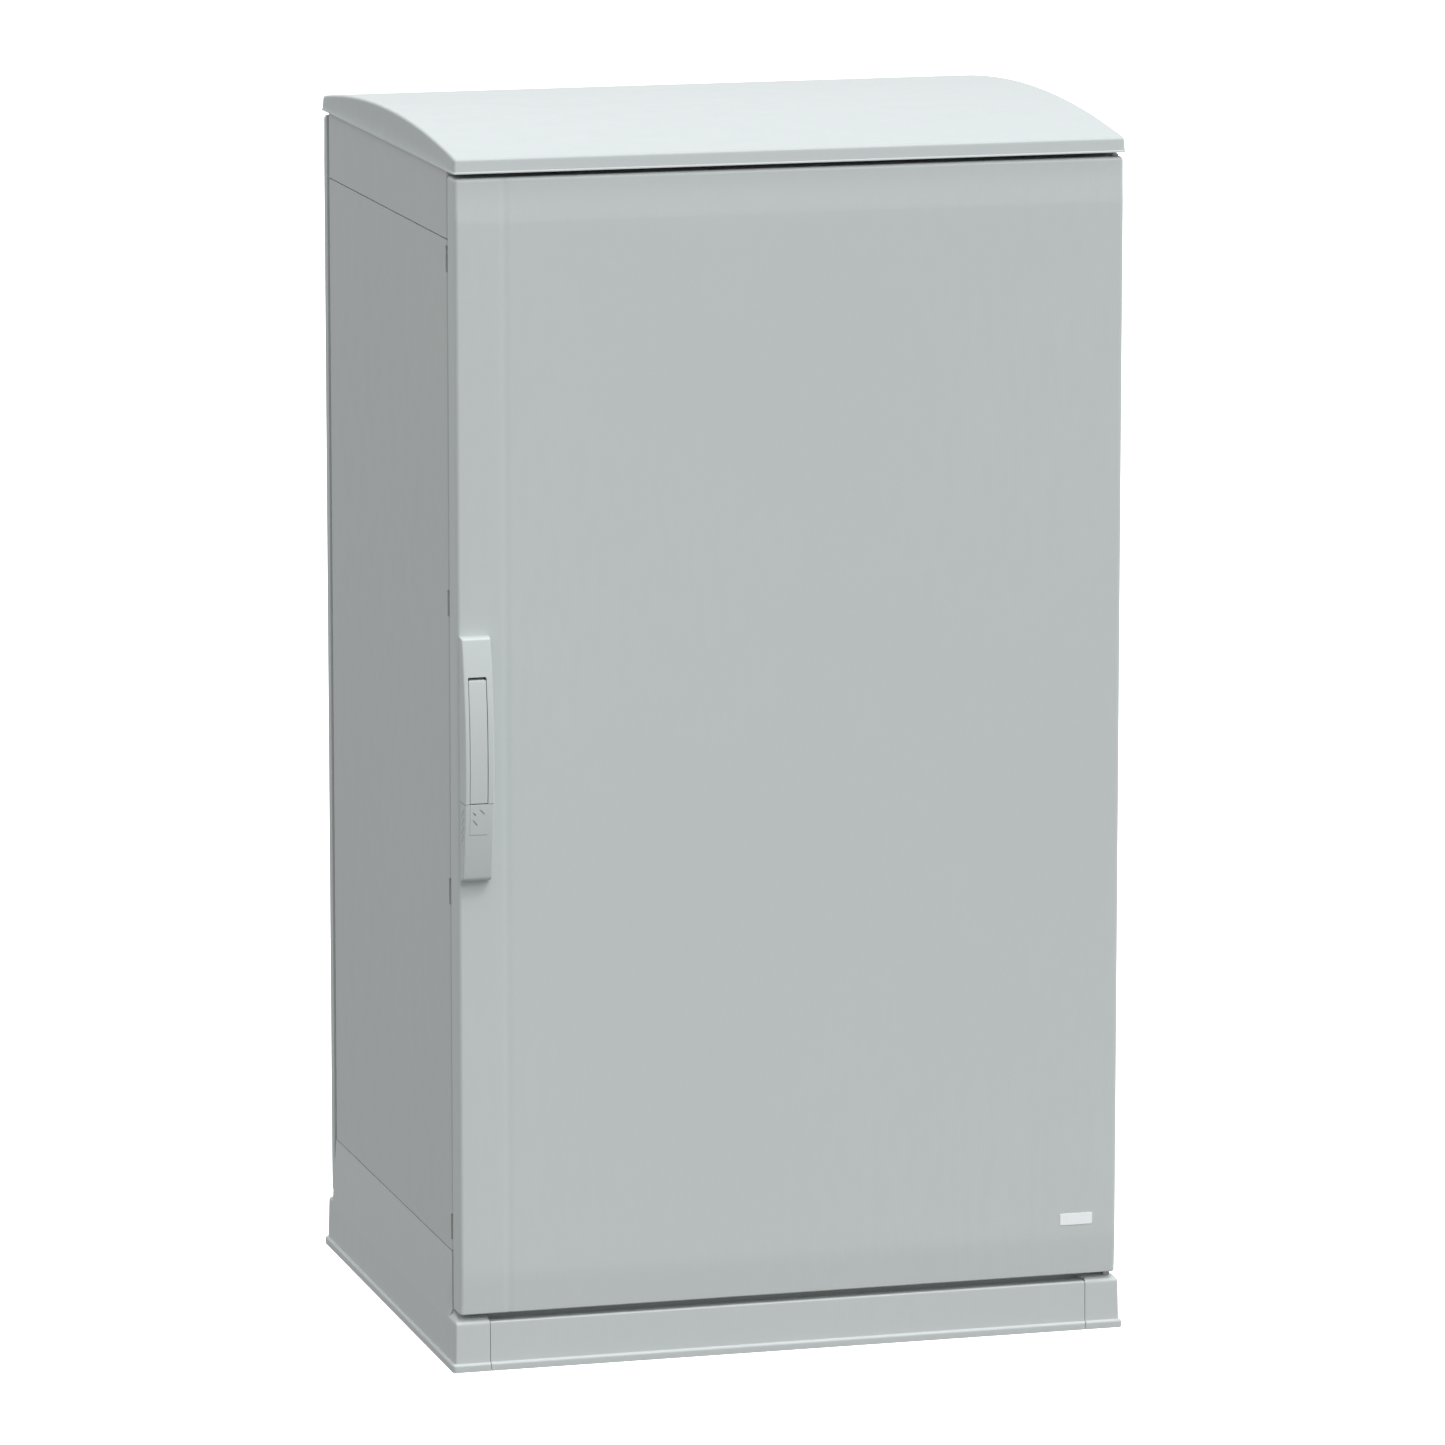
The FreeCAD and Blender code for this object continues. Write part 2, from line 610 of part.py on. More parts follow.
def cable_grommets():
    """Closed rubber membranes, stepped so that they can be cut to the cable."""
    z0 = BODY_BOTTOM - SEAM
    grommets = []
    for x in GROMMET_X:
        body = rod_z(z0 - 3.0, z0 + STEEL + 3.0, x, GROMMET_Y, GROMMET_R + 4.0)
        groove = rod_z(z0, z0 + STEEL, x, GROMMET_Y, GROMMET_R + 5.0)
        neck = rod_z(z0, z0 + STEEL, x, GROMMET_Y, GROMMET_R)
        hollow = rod_z(z0 - 4.0, z0 + STEEL + 1.0, x, GROMMET_Y, GROMMET_R - 4.0)
        cone = Part.makeCone(GROMMET_R - 2.0, GROMMET_R - 18.0, 12.0, vec(x, GROMMET_Y, z0 + STEEL + 3.0))
        dimple = Part.makeCone(GROMMET_R - 5.0, GROMMET_R - 20.0, 11.0, vec(x, GROMMET_Y, z0 + STEEL + 1.0))
        membrane = joined([body.cut(groove), neck, cone])
        grommets.append(minus(membrane, [hollow, dimple]))
    return group(grommets)


def mounting_plate():
    """Steel back plate for the equipment, with a folded edge above and below."""
    back = PLATE_Y + PLATE_THICK
    fold = 14.0
    fold_reach = PLATE_HALF_X - 30.0
    plate = joined([
        block(-PLATE_HALF_X, PLATE_HALF_X, PLATE_Y, back, PLATE_LOW, PLATE_HIGH),
        block(-fold_reach, fold_reach, PLATE_Y, PLATE_Y + fold, PLATE_LOW, PLATE_LOW + PLATE_THICK),
        block(-fold_reach, fold_reach, PLATE_Y, PLATE_Y + fold, PLATE_HIGH - PLATE_THICK, PLATE_HIGH),
    ])
    plate = rounded(plate, 6.0, lambda a, b: 1 < abs(a.y - b.y) < PLATE_THICK + 0.1
                    and abs(abs(a.x) - PLATE_HALF_X) < 0.1)
    holes = [rod_y(PLATE_Y - 1, back + 1, side * plate_bolt_x(), z, 4.3)
             for side in (-1, 1) for z in BRACKET_HEIGHTS]
    holes.append(rod_y(PLATE_Y - 1, back + 1, EARTH_X, EARTH_Z, 4.1))
    return minus(plate, holes)


def plate_bolt_x():
    return PLATE_HALF_X - 14.0


def bracket_screw_y():
    return BODY_REAR - 32.0


def plate_brackets():
    """Angle pieces between the rear uprights and the mounting plate."""
    back = PLATE_Y + PLATE_THICK
    outer = -BODY_HALF_WIDTH + WALL + CORNER_GAP + STEEL
    half_height = 22.0
    brackets = []
    for z in BRACKET_HEIGHTS:
        bracket = joined([
            block(outer, outer + STEEL, back, BODY_REAR - 20.0, z - half_height, z + half_height),
            block(outer, -PLATE_HALF_X + 30.0, back, back + STEEL, z - half_height, z + half_height),
        ])
        bracket = minus(bracket, [
            rod_y(back - 1, back + STEEL + 1, -plate_bolt_x(), z, 4.3),
            rod_x(outer - 1, outer + STEEL + 1, bracket_screw_y(), z, M6_HOLE_R),
        ])
        brackets += [bracket, mirrored(bracket)]
    return group(brackets)


def plate_bolts():
    """Bolts and nuts of the mounting plate."""
    pieces = []
    nut_face = PLATE_Y + PLATE_THICK + STEEL
    nut_height = 6.5
    for side in (-1, 1):
        for z in BRACKET_HEIGHTS:
            x = side * plate_bolt_x()
            pieces.append(hex_bolt(4.0, 16.0, 5.3, (x, PLATE_Y, z), (0, 1, 0)))
            nut = hex_bolt(4.0, 0.5, nut_height, (x, nut_face + nut_height, z), (0, 1, 0))
            pieces.append(minus(nut, [rod_y(nut_face - 1, nut_face + 8.0, x, z, 4.05)]))
    return group(pieces)


def bracket_screws():
    screws = []
    inner = BODY_HALF_WIDTH - WALL - CORNER_GAP - 2 * STEEL
    for z in BRACKET_HEIGHTS:
        screw = pan_screw(3.0, 6.5, (-inner, bracket_screw_y(), z), (-1, 0, 0))
        screws += [screw, mirrored(screw)]
    return group(screws)


def earth_stud():
    """Threaded stud with its two nuts, through the foot of the mounting plate."""
    stud = rod_y(PLATE_Y - 24.0, PLATE_Y + 12.0, EARTH_X, EARTH_Z, 4.0)
    front_nut = hex_bolt(4.0, 0.5, 6.5, (EARTH_X, PLATE_Y, EARTH_Z), (0, 1, 0))
    rear_nut = hex_bolt(4.0, 0.5, 6.5, (EARTH_X, PLATE_Y + 9.0, EARTH_Z), (0, 1, 0))
    return joined([stud, front_nut, rear_nut])


# ---------------------------------------------------------------- door
def door_panel():
    """Door tray; the upper and lower bands of its face lean back a little."""
    half = DOOR_HALF_WIDTH
    tray = outline_x([
        (DOOR_FACE + DOOR_LOW_LEAN, DOOR_BOTTOM), (DOOR_FACE, DOOR_LOW_CREASE), (DOOR_FACE, DOOR_HIGH_CREASE),
        (DOOR_FACE + DOOR_HIGH_LEAN, DOOR_TOP - 8.0), (DOOR_FACE + DOOR_HIGH_LEAN, DOOR_TOP),
        (DOOR_BACK, DOOR_TOP), (DOOR_BACK, DOOR_BOTTOM),
    ], -half, half)
    tray = rounded(tray, DOOR_EDGE_R, lambda a, b: min(a.y, b.y) < DOOR_FACE + 5 and (
        abs(a.y - b.y) > 10 or (abs(a.x - b.x) > 100 and (a.z < DOOR_BOTTOM + 1 or a.z > DOOR_TOP - 1))
        or (abs(a.z - b.z) > 40 and abs(abs(a.x) - half) < 0.1)))
    inside = DOOR_FACE + WALL
    tray = tray.cut(block(-half + WALL, half - WALL, inside, DOOR_BACK + 1,
                          DOOR_BOTTOM + WALL, DOOR_TOP - WALL))
    tray = joined([tray] + [hinge_boss(z0, z1) for z0, z1 in hinge_boss_spans()])

    cuts = [rod_z(DOOR_LOW_CREASE, DOOR_TOP - 12.0, GROOVE_X, DOOR_FACE - GROOVE_R + GROOVE_DEPTH, GROOVE_R)]
    (low_start, low_end), (high_start, high_end) = hinge_boss_spans()
    cuts.append(rod_z(low_start - 1, low_end - 4, HINGE_X, HINGE_Y, BUSH_R))
    cuts.append(rod_z(high_start + 4, high_end + 1, HINGE_X, HINGE_Y, BUSH_R))
    cuts.append(crank_slot())
    cuts += [rod_y(DOOR_FACE - 1, inside + 1, HANDLE_X, z, 2.8) for z in handle_screw_heights()]
    return minus(tray, cuts)


def hinge_boss_spans():
    depth = 34.0
    return ((DOOR_BOTTOM, DOOR_BOTTOM + depth), (DOOR_TOP - depth, DOOR_TOP))


def hinge_boss(z0, z1):
    """Thickened corner of the tray that takes a hinge bush."""
    reach = 14.0
    inner = 2.5 if z0 < 100 else 0.0
    outer = 0.0 if z0 < 100 else 2.5
    return block(HINGE_X - reach, DOOR_HALF_WIDTH - 2.0, DOOR_FACE + 3.0, HINGE_Y + 11.0,
                 z0 + inner, z1 - outer)


def crank_slot():
    """Slot in the door's face and the handle's floor for the swinging crank."""
    return block(HANDLE_X - 4.0, HANDLE_X + 4.0, DOOR_FACE - 3.0, DOOR_FACE + WALL + 1,
                 LEVER_PIVOT_Z - 14.0, LEVER_PIVOT_Z + 14.0)


def channels(open_y, web_y):
    """Four channels round the opening, open towards open_y, with their web's outer side at web_y."""
    width = FRAME_OUTER_X - FRAME_INNER_X
    inwards = 1 if open_y > web_y else -1
    y0, y1 = min(open_y, web_y), max(open_y, web_y)
    hollow_y = sorted((open_y + inwards, web_y + inwards * CHANNEL_WEB))
    upright_channel = block(FRAME_INNER_X, FRAME_OUTER_X, y0, y1, FRAME_LOW, FRAME_HIGH).cut(
        block(FRAME_INNER_X + CHANNEL_WEB, FRAME_OUTER_X - CHANNEL_WEB, hollow_y[0], hollow_y[1],
              FRAME_LOW - 1, FRAME_HIGH + 1))
    pieces = [upright_channel, mirrored(upright_channel)]
    for low in (FRAME_LOW, FRAME_HIGH - width):
        cross = block(-FRAME_INNER_X, FRAME_INNER_X, y0, y1, low, low + width)
        pieces.append(cross.cut(block(-FRAME_INNER_X - 1, FRAME_INNER_X + 1, hollow_y[0], hollow_y[1],
                                      low + CHANNEL_WEB, low + width - CHANNEL_WEB)))
    return group(pieces)


def door_stiffener():
    return channels(DOOR_FACE + WALL, FRAME_BACK)


def door_seal():
    """Rubber seal ring, rounded where it meets the body."""
    seal = ring(SEAL_OUTER_X, FRAME_LOW + RING_INSET, FRAME_HIGH - RING_INSET,
                SEAL_OUTER_X - SEAL_INNER_X, FRAME_BACK, BODY_FRONT - 0.3)
    return rounded(seal, 4.0, lambda a, b: min(a.y, b.y) > BODY_FRONT - 0.4)


def hinge_bushes():
    """Flanged bushes pressed into the door's corners."""
    flange_r = 5.2
    length = 28.0
    bushes = []
    for start, rim_start in ((DOOR_BOTTOM, DOOR_BOTTOM - BUSH_FLANGE), (DOOR_TOP - length, DOOR_TOP)):
        sleeve = rod_z(start, start + length, HINGE_X, HINGE_Y, BUSH_R)
        rim = rod_z(rim_start, rim_start + BUSH_FLANGE, HINGE_X, HINGE_Y, flange_r)
        bore = rod_z(start - 5, start + length + 5, HINGE_X, HINGE_Y, PIN_R + RUNNING_CLEARANCE)
        bushes.append(sleeve.fuse(rim).removeSplitter().cut(bore))
    return group(bushes)


def label_plate():
    """Small blank plate near the door's lower right corner."""
    plate = block(LABEL_LEFT, LABEL_RIGHT, DOOR_FACE - LABEL_THICK, DOOR_FACE, LABEL_LOW, LABEL_HIGH)
    return rounded(plate, 0.8, lambda a, b: abs(a.y - b.y) > 0.1)


# ---------------------------------------------------------------- hinges
def hinge_screw_heights(top):
    return (DOOR_TOP - 22.0, DOOR_TOP - 6.0) if top else (80.0, 96.0)


def hinge_bracket(top):
    """Angle with one leg on the body and the other over or under the door's corner."""
    leg_y = BODY_FRONT - STEEL
    x0 = HINGE_X - 28.0
    x1 = HINGE_X + 5.0
    if top:
        shelf_z = HIGH_SHELF
        leg_low, leg_high = DOOR_TOP - 30.0, shelf_z + STEEL
    else:
        shelf_z = LOW_SHELF
        leg_low, leg_high = shelf_z, 104.0
    bracket = joined([
        block(x0, x1, leg_y, BODY_FRONT, leg_low, leg_high),
        block(x0, x1, HINGE_Y - 7.0, BODY_FRONT, shelf_z, shelf_z + STEEL),
    ])
    holes = [rod_z(shelf_z - 1, shelf_z + STEEL + 1, HINGE_X, HINGE_Y, PIN_R)]
    holes += [rod_y(leg_y - 1, BODY_FRONT + 1, HINGE_SCREW_X, z, M4_HOLE_R)
              for z in hinge_screw_heights(top)]
    return minus(bracket, holes)


def hinge_pin(top):
    """Pin fixed in its bracket, with a flat head on the far side of the bracket."""
    head = 2.0
    head_r = PIN_R + 1.8
    if top:
        shelf = HIGH_SHELF + STEEL
        return joined([
            rod_z(DOOR_TOP - 26.0, shelf, HINGE_X, HINGE_Y, PIN_R),
            rod_z(shelf, shelf + head, HINGE_X, HINGE_Y, head_r),
        ])
    return joined([
        rod_z(LOW_SHELF, DOOR_BOTTOM + 26.0, HINGE_X, HINGE_Y, PIN_R),
        rod_z(LOW_SHELF - head, LOW_SHELF, HINGE_X, HINGE_Y, head_r),
    ])


def thrust_washer():
    """Washer on the lower pin that carries the door."""
    washer = rod_z(PLINTH_CAP, DOOR_BOTTOM - BUSH_FLANGE - 0.1, HINGE_X, HINGE_Y, 4.6)
    return washer.cut(rod_z(PLINTH_CAP - 1, DOOR_BOTTOM, HINGE_X, HINGE_Y, PIN_R + 0.1))


def hinge_screws():
    base = BODY_FRONT - STEEL
    screws = []
    for top in (True, False):
        for z in hinge_screw_heights(top):
            screws.append(pan_screw(2.0, STEEL + WALL, (HINGE_SCREW_X, base, z), (0, 1, 0)))
    return group(screws)


# ---------------------------------------------------------------- handle and lock
def handle_outline(low, high, inset):
    """Closed outline of the bow-shaped handle between two heights, as a solid across its width."""
    half = HANDLE_HALF_WIDTH - inset
    centre_y = DOOR_FACE - HANDLE_DEPTH + inset + HANDLE_ARC_R
    bow = rod_x(HANDLE_X - half, HANDLE_X + half, centre_y, HANDLE_MIDDLE, HANDLE_ARC_R)
    limits = block(HANDLE_X - half, HANDLE_X + half, DOOR_FACE - HANDLE_DEPTH - 5, DOOR_FACE, low, high)
    return bow.common(limits)


def handle_zone(back, low, high):
    """Block that holds the whole width and depth of the handle between two heights."""
    return block(HANDLE_X - 30.0, HANDLE_X + 30.0, DOOR_FACE - 40.0, back, low, high)


def handle_block():
    """The whole outer form of the handle, with rounded ends and long edges."""
    solid = handle_outline(HANDLE_LOW, HANDLE_HIGH, 0.0)
    solid = rounded(solid, HANDLE_END_R, lambda a, b: abs(a.x - b.x) > 20 and max(a.y, b.y) < DOOR_FACE - 5)
    return rounded(solid, 1.8, lambda a, b: max(a.y, b.y) < DOOR_FACE - 1 and abs(a.x - b.x) < 0.5)


def handle_screw_heights():
    return (606.0, 834.0)


def handle_housing():
    """Fixed part of the handle: the frame round the lever and the seat of the lock below it."""
    seam = HANDLE_SEAM + 0.3
    frame = handle_block().common(handle_zone(DOOR_FACE, seam, HANDLE_HIGH))
    recess_half = LEVER_HALF_WIDTH + 0.5
    recess = block(LEVER_X - recess_half, LEVER_X + recess_half, DOOR_FACE - 37.0, DOOR_FACE - 2.0,
                   seam - 1, LEVER_TOP + 2.2)
    recess = rounded(recess, 1.2, lambda a, b: abs(a.y - b.y) > 10 and a.z > LEVER_TOP)

    floor = DOOR_FACE - 2.6
    seat = joined([
        block(HANDLE_X - SEAT_NECK_HALF, HANDLE_X + SEAT_NECK_HALF, floor, DOOR_FACE, SEAT_LOW, seam),
        block(HANDLE_X - SEAT_HALF_WIDTH, HANDLE_X + SEAT_HALF_WIDTH, DOOR_FACE - 13.0, floor,
              SEAT_LOW, SEAT_STEP),
        block(HANDLE_X - SEAT_HALF_WIDTH, HANDLE_X + SEAT_HALF_WIDTH, BARREL_FRONT, floor,
              SEAT_STEP, HANDLE_SEAM - 0.5),
    ])
    barrel_bore = rod_y(BARREL_FRONT - 1, DOOR_FACE - 2.0, HANDLE_X, BARREL_Z, BARREL_R + RUNNING_CLEARANCE)
    sweep = rod_y(TONGUE_FRONT - 0.4, TONGUE_FRONT + TONGUE_THICK + 0.4, HANDLE_X, BARREL_Z,
                  TONGUE_REACH + 0.5)
    sweep = sweep.common(block(HANDLE_X - TONGUE_HALF_WIDTH - 1.5, HANDLE_X + 20.0, DOOR_FACE - 37.0, DOOR_FACE,
                               BARREL_Z - TONGUE_HALF_WIDTH - 1.5, BARREL_Z + 28.0))
    housing = joined([frame.cut(recess), seat])
    pin_hole = rod_x(HANDLE_X - 15.0, HANDLE_X + 15.0, LEVER_PIVOT_Y, LEVER_PIVOT_Z, PIVOT_PIN_R)
    bores = [rod_y(DOOR_FACE - 9.0, DOOR_FACE + 1, HANDLE_X, z, 2.1) for z in handle_screw_heights()]
    return minus(housing, [barrel_bore, sweep, pin_hole, crank_slot()] + bores)


def handle_lever():
    """Lever that lies flush in the housing; its lower end swings out."""
    limits = block(LEVER_X - LEVER_HALF_WIDTH, LEVER_X + LEVER_HALF_WIDTH, DOOR_FACE - 37.0, DOOR_FACE - 8.0,
                   HANDLE_SEAM + 0.8, LEVER_TOP)
    limits = rounded(limits, 2.2, lambda a, b: abs(a.y - b.y) > 10 and a.z > LEVER_TOP - 1)
    lever = handle_block().common(limits)
    lever.translate(vec(0, LEVER_SINK, 0))
    x0 = HANDLE_X - 30.0
    x1 = HANDLE_X + 30.0
    above = handle_zone(DOOR_FACE, LEVER_PIVOT_Z, LEVER_TOP + 1)
    turning = rod_x(x0, x1, LEVER_PIVOT_Y, LEVER_PIVOT_Z, 9.8)
    lever = lever.cut(above.cut(turning))
    pin_bore = rod_x(x0, x1, LEVER_PIVOT_Y, LEVER_PIVOT_Z, PIVOT_PIN_R + RUNNING_CLEARANCE)
    pocket_half = CRANK_HALF_THICK + 0.3
    crank_pocket = block(HANDLE_X - pocket_half, HANDLE_X + pocket_half, LEVER_PIVOT_Y - 7.0, DOOR_FACE,
                         RIVET_Z - 7.0, LEVER_TOP + 1)
    tongue_notch = block(HANDLE_X - TONGUE_HALF_WIDTH - 1.5, x1, TONGUE_FRONT - 0.6,
                         TONGUE_FRONT + TONGUE_THICK + 0.6, HANDLE_SEAM, BARREL_Z + TONGUE_REACH + 1.0)
    rivet_hole = rod_x(HANDLE_X - 7.0, HANDLE_X + 7.0, RIVET_Y, RIVET_Z, RIVET_HOLE_R)
    return minus(lever, [pin_bore, crank_pocket, tongue_notch, rivet_hole])


def lever_pin():
    return rod_x(HANDLE_X - 14.8, HANDLE_X + 14.8, LEVER_PIVOT_Y, LEVER_PIVOT_Z, PIVOT_PIN_R)


def crank_end():
    angle = math.radians(CRANK_REST_DEG)
    return (LEVER_PIVOT_Y + CRANK_R * math.cos(angle), LEVER_PIVOT_Z + CRANK_R * math.sin(angle))


def lever_crank():
    """Flat steel crank inside the lever; its arm reaches back through the door's face."""
    x0 = HANDLE_X - CRANK_HALF_THICK
    x1 = HANDLE_X + CRANK_HALF_THICK
    end_y, end_z = crank_end()
    angle = math.radians(CRANK_REST_DEG)
    half = 3.4
    off_y = -half * math.sin(angle)
    off_z = half * math.cos(angle)
    arm = outline_x([
        (LEVER_PIVOT_Y + off_y, LEVER_PIVOT_Z + off_z), (end_y + off_y, end_z + off_z),
        (end_y - off_y, end_z - off_z), (LEVER_PIVOT_Y - off_y, LEVER_PIVOT_Z - off_z),
    ], x0, x1)
    crank = joined([
        rod_x(x0, x1, LEVER_PIVOT_Y, LEVER_PIVOT_Z, 5.5),
        arm,
        rod_x(x0, x1, end_y, end_z, 4.4),
        block(x0, x1, LEVER_PIVOT_Y - 5.0, LEVER_PIVOT_Y + 3.0, RIVET_Z - 5.0, LEVER_PIVOT_Z),
    ])
    return minus(crank, [
        rod_x(x0 - 1, x1 + 1, LEVER_PIVOT_Y, LEVER_PIVOT_Z, PIVOT_PIN_R + RUNNING_CLEARANCE),
        rod_x(x0 - 1, x1 + 1, end_y, end_z, DRIVE_PIN_R),
        rod_x(x0 - 1, x1 + 1, RIVET_Y, RIVET_Z, RIVET_HOLE_R),
    ])


def crank_pins():
    """Drive pin at the crank's end, and the rivet that ties the crank to the lever."""
    end_y, end_z = crank_end()
    return group([
        rod_x(HANDLE_X - 9.0, HANDLE_X + 9.0, end_y, end_z, DRIVE_PIN_R),
        rod_x(HANDLE_X - 6.8, HANDLE_X + 6.8, RIVET_Y, RIVET_Z, RIVET_HOLE_R - RUNNING_CLEARANCE),
    ])


def handle_screws():
    base = DOOR_FACE + WALL
    return group([pan_screw(2.05, WALL + 8.0, (HANDLE_X, base, z), (0, -1, 0))
                  for z in handle_screw_heights()])


def lock_cover():
    """Sliding cap over the lock, with a raised square in front and slanting thumb grips at its side."""
    top = HANDLE_SEAM - 0.3
    cover = handle_block().common(handle_zone(DOOR_FACE - 0.4, HANDLE_LOW, top))
    hollow = handle_outline(HANDLE_LOW + COVER_WALL, top + 1, COVER_WALL)
    hollow = hollow.common(handle_zone(DOOR_FACE - 2.3, HANDLE_LOW + COVER_WALL, top + 1))
    slit_half = SEAT_NECK_HALF + 0.4
    slit = block(HANDLE_X - slit_half, HANDLE_X + slit_half, DOOR_FACE - 2.6, DOOR_FACE + 1,
                 HANDLE_LOW + 20.0, top + 1)
    badge = handle_outline(BADGE_LOW, top, -BADGE_PROUD)
    badge = badge.common(block(HANDLE_X - 11.0, HANDLE_X + 9.4, DOOR_FACE - 37.0, DOOR_FACE - 17.0,
                               BADGE_LOW, top))
    cover = minus(joined([cover, badge]), [hollow, slit])
    side = HANDLE_X - HANDLE_HALF_WIDTH
    near, far = DOOR_FACE - 7.8, DOOR_FACE - 18.8
    grips = []
    for z in GRIP_HEIGHTS:
        grips.append(outline_x([
            (far - 0.5, z + 4.6), (far + 0.5, z + 5.6), (near + 0.5, z - 6.6), (near - 0.5, z - 5.6),
        ], side - 1, side + 0.7))
    return minus(cover, grips)


def lock_barrel():
    """Turning barrel with a double-bit key post in a round recess."""
    bottom = BARREL_FRONT + 7.5
    barrel = rod_y(BARREL_FRONT, DOOR_FACE - 2.3, HANDLE_X, BARREL_Z, BARREL_R)
    recess = rod_y(BARREL_FRONT - 1, BARREL_FRONT + 7.0, HANDLE_X, BARREL_Z, 5.5)
    post = joined([
        rod_y(BARREL_FRONT + 1.0, bottom, HANDLE_X, BARREL_Z, 2.0),
        block(HANDLE_X - 0.8, HANDLE_X + 0.8, BARREL_FRONT + 1.0, bottom, BARREL_Z - 4.0, BARREL_Z + 4.0),
    ])
    return barrel.cut(recess).fuse(post).removeSplitter().cut(tongue_bar(HANDLE_X + 12.0))


def tongue_bar(end_x):
    """Flat bar from the tongue's root in the barrel out to end_x."""
    return block(HANDLE_X + TONGUE_ROOT, end_x, TONGUE_FRONT, TONGUE_FRONT + TONGUE_THICK,
                 BARREL_Z - TONGUE_HALF_WIDTH, BARREL_Z + TONGUE_HALF_WIDTH)


def lock_tongue():
    """Tongue on the barrel; unlocked it lies sideways, and locked it stands up into the lever."""
    reach = rod_y(TONGUE_FRONT - 1, TONGUE_FRONT + TONGUE_THICK + 1, HANDLE_X, BARREL_Z, TONGUE_REACH)
    return tongue_bar(HANDLE_X + TONGUE_REACH).common(reach)


# ---------------------------------------------------------------- locking bar
def lock_rod():
    """Flat bar behind the handle that carries four studs."""
    bar = block(HANDLE_X - ROD_HALF_WIDTH, HANDLE_X + ROD_HALF_WIDTH, ROD_FRONT, ROD_BACK, ROD_LOW, ROD_HIGH)
    bar = rounded(bar, 3.0, lambda a, b: abs(a.y - b.y) > 1)
    return minus(bar, [rod_y(ROD_FRONT - 1, ROD_BACK + 1, HANDLE_X, z, 3.0) for z in LATCH_HEIGHTS])


def lock_studs():
    """Mushroom-headed studs riveted through the bar."""
    studs = []
    for z in LATCH_HEIGHTS:
        studs.append(joined([
            rod_y(ROD_FRONT, ROD_BACK, HANDLE_X, z, 3.0),
            rod_y(ROD_BACK, ROD_BACK + 8.0, HANDLE_X, z, 3.5),
            rod_y(ROD_BACK + 8.0, ROD_BACK + 12.0, HANDLE_X, z, 6.0),
        ]))
    return group(studs)


def rod_drive_block():
    """Forked block on the bar; the crank's drive pin works in its cross slot."""
    end_y, end_z = crank_end()
    half_height = 14.0
    block_front = DOOR_FACE + WALL + 0.5
    body = block(HANDLE_X - 10.0, HANDLE_X + 10.0, block_front, ROD_FRONT,
                 end_z - half_height, end_z + half_height)
    arm_space = block(HANDLE_X - 3.6, HANDLE_X + 3.6, block_front - 1, ROD_FRONT - 1.5,
                      end_z - half_height - 1, end_z + half_height + 1)
    slot_half = 2.8
    deepest_y = LEVER_PIVOT_Y + CRANK_R
    slot = joined([
        rod_x(HANDLE_X - 11, HANDLE_X + 11, end_y - 0.4, end_z, slot_half),
        rod_x(HANDLE_X - 11, HANDLE_X + 11, deepest_y + 0.4, end_z, slot_half),
        block(HANDLE_X - 11, HANDLE_X + 11, end_y - 0.4, deepest_y + 0.4, end_z - slot_half, end_z + slot_half),
    ])
    return minus(body, [arm_space, slot])


def rod_guides():
    """Plastic guides on the door that hold the bar and let it slide."""
    guides = []
    clearance = 0.4
    for z in GUIDE_HEIGHTS:
        body = block(HANDLE_X - 14.0, HANDLE_X + 14.0, DOOR_FACE + WALL, ROD_BACK + 3.5, z - 12.0, z + 12.0)
        body = rounded(body, 3.0, lambda a, b: min(a.y, b.y) > ROD_BACK and abs(a.z - b.z) > 10)
        channel = block(HANDLE_X - ROD_HALF_WIDTH - clearance, HANDLE_X + ROD_HALF_WIDTH + clearance,
                        ROD_FRONT - clearance, ROD_BACK + clearance, z - 13.0, z + 13.0)
        core = block(HANDLE_X - 9.0, HANDLE_X + 9.0, DOOR_FACE + WALL + 3.0, ROD_FRONT - 3.0, z - 13.0, z + 13.0)
        guides.append(minus(body, [channel, core]))
    return group(guides)


def keeper_screw_places():
    return [(HANDLE_X + 21.0, z + 4.0) for z in LATCH_HEIGHTS]


def lock_keepers():
    """Hooked plates on the body; the bar's studs leave them through their open lower end."""
    front = ROD_BACK + 2.0
    keepers = []
    for z in LATCH_HEIGHTS:
        low = z - 8.0
        high = z + 16.0
        keeper = joined([
            block(HANDLE_X - 12.0, HANDLE_X + 16.0, front, front + STEEL, low, high),
            block(HANDLE_X + 13.0, HANDLE_X + 16.0, front, BODY_FRONT, low, high),
            block(HANDLE_X + 13.0, HANDLE_X + 26.0, BODY_FRONT - STEEL, BODY_FRONT, low, high),
        ])
        slot = joined([
            rod_y(front - 1, front + STEEL + 1, HANDLE_X, z, 4.2),
            block(HANDLE_X - 4.2, HANDLE_X + 4.2, front - 1, front + STEEL + 1, low - 1, z),
        ])
        keepers.append(keeper.cut(slot))
    holes = [rod_y(BODY_FRONT - STEEL - 1, BODY_FRONT + 1, x, z, M4_HOLE_R)
             for x, z in keeper_screw_places()]
    return group([keeper.cut(hole) for keeper, hole in zip(keepers, holes)])


def keeper_screws():
    base = BODY_FRONT - STEEL
    return group([pan_screw(2.0, STEEL + WALL, (x, base, z), (0, 1, 0))
                  for x, z in keeper_screw_places()])


# ---------------------------------------------------------------- all sub-parts
def plinth_right():
    """Right side moulding; the lower hinge pin comes up through its corner cap."""
    pin_hole = rod_z(PLINTH_RIM - 8.0, PLINTH_CAP + 1, HINGE_X, HINGE_Y, PIN_R + 0.6)
    return mirrored(plinth_side()).cut(pin_hole)


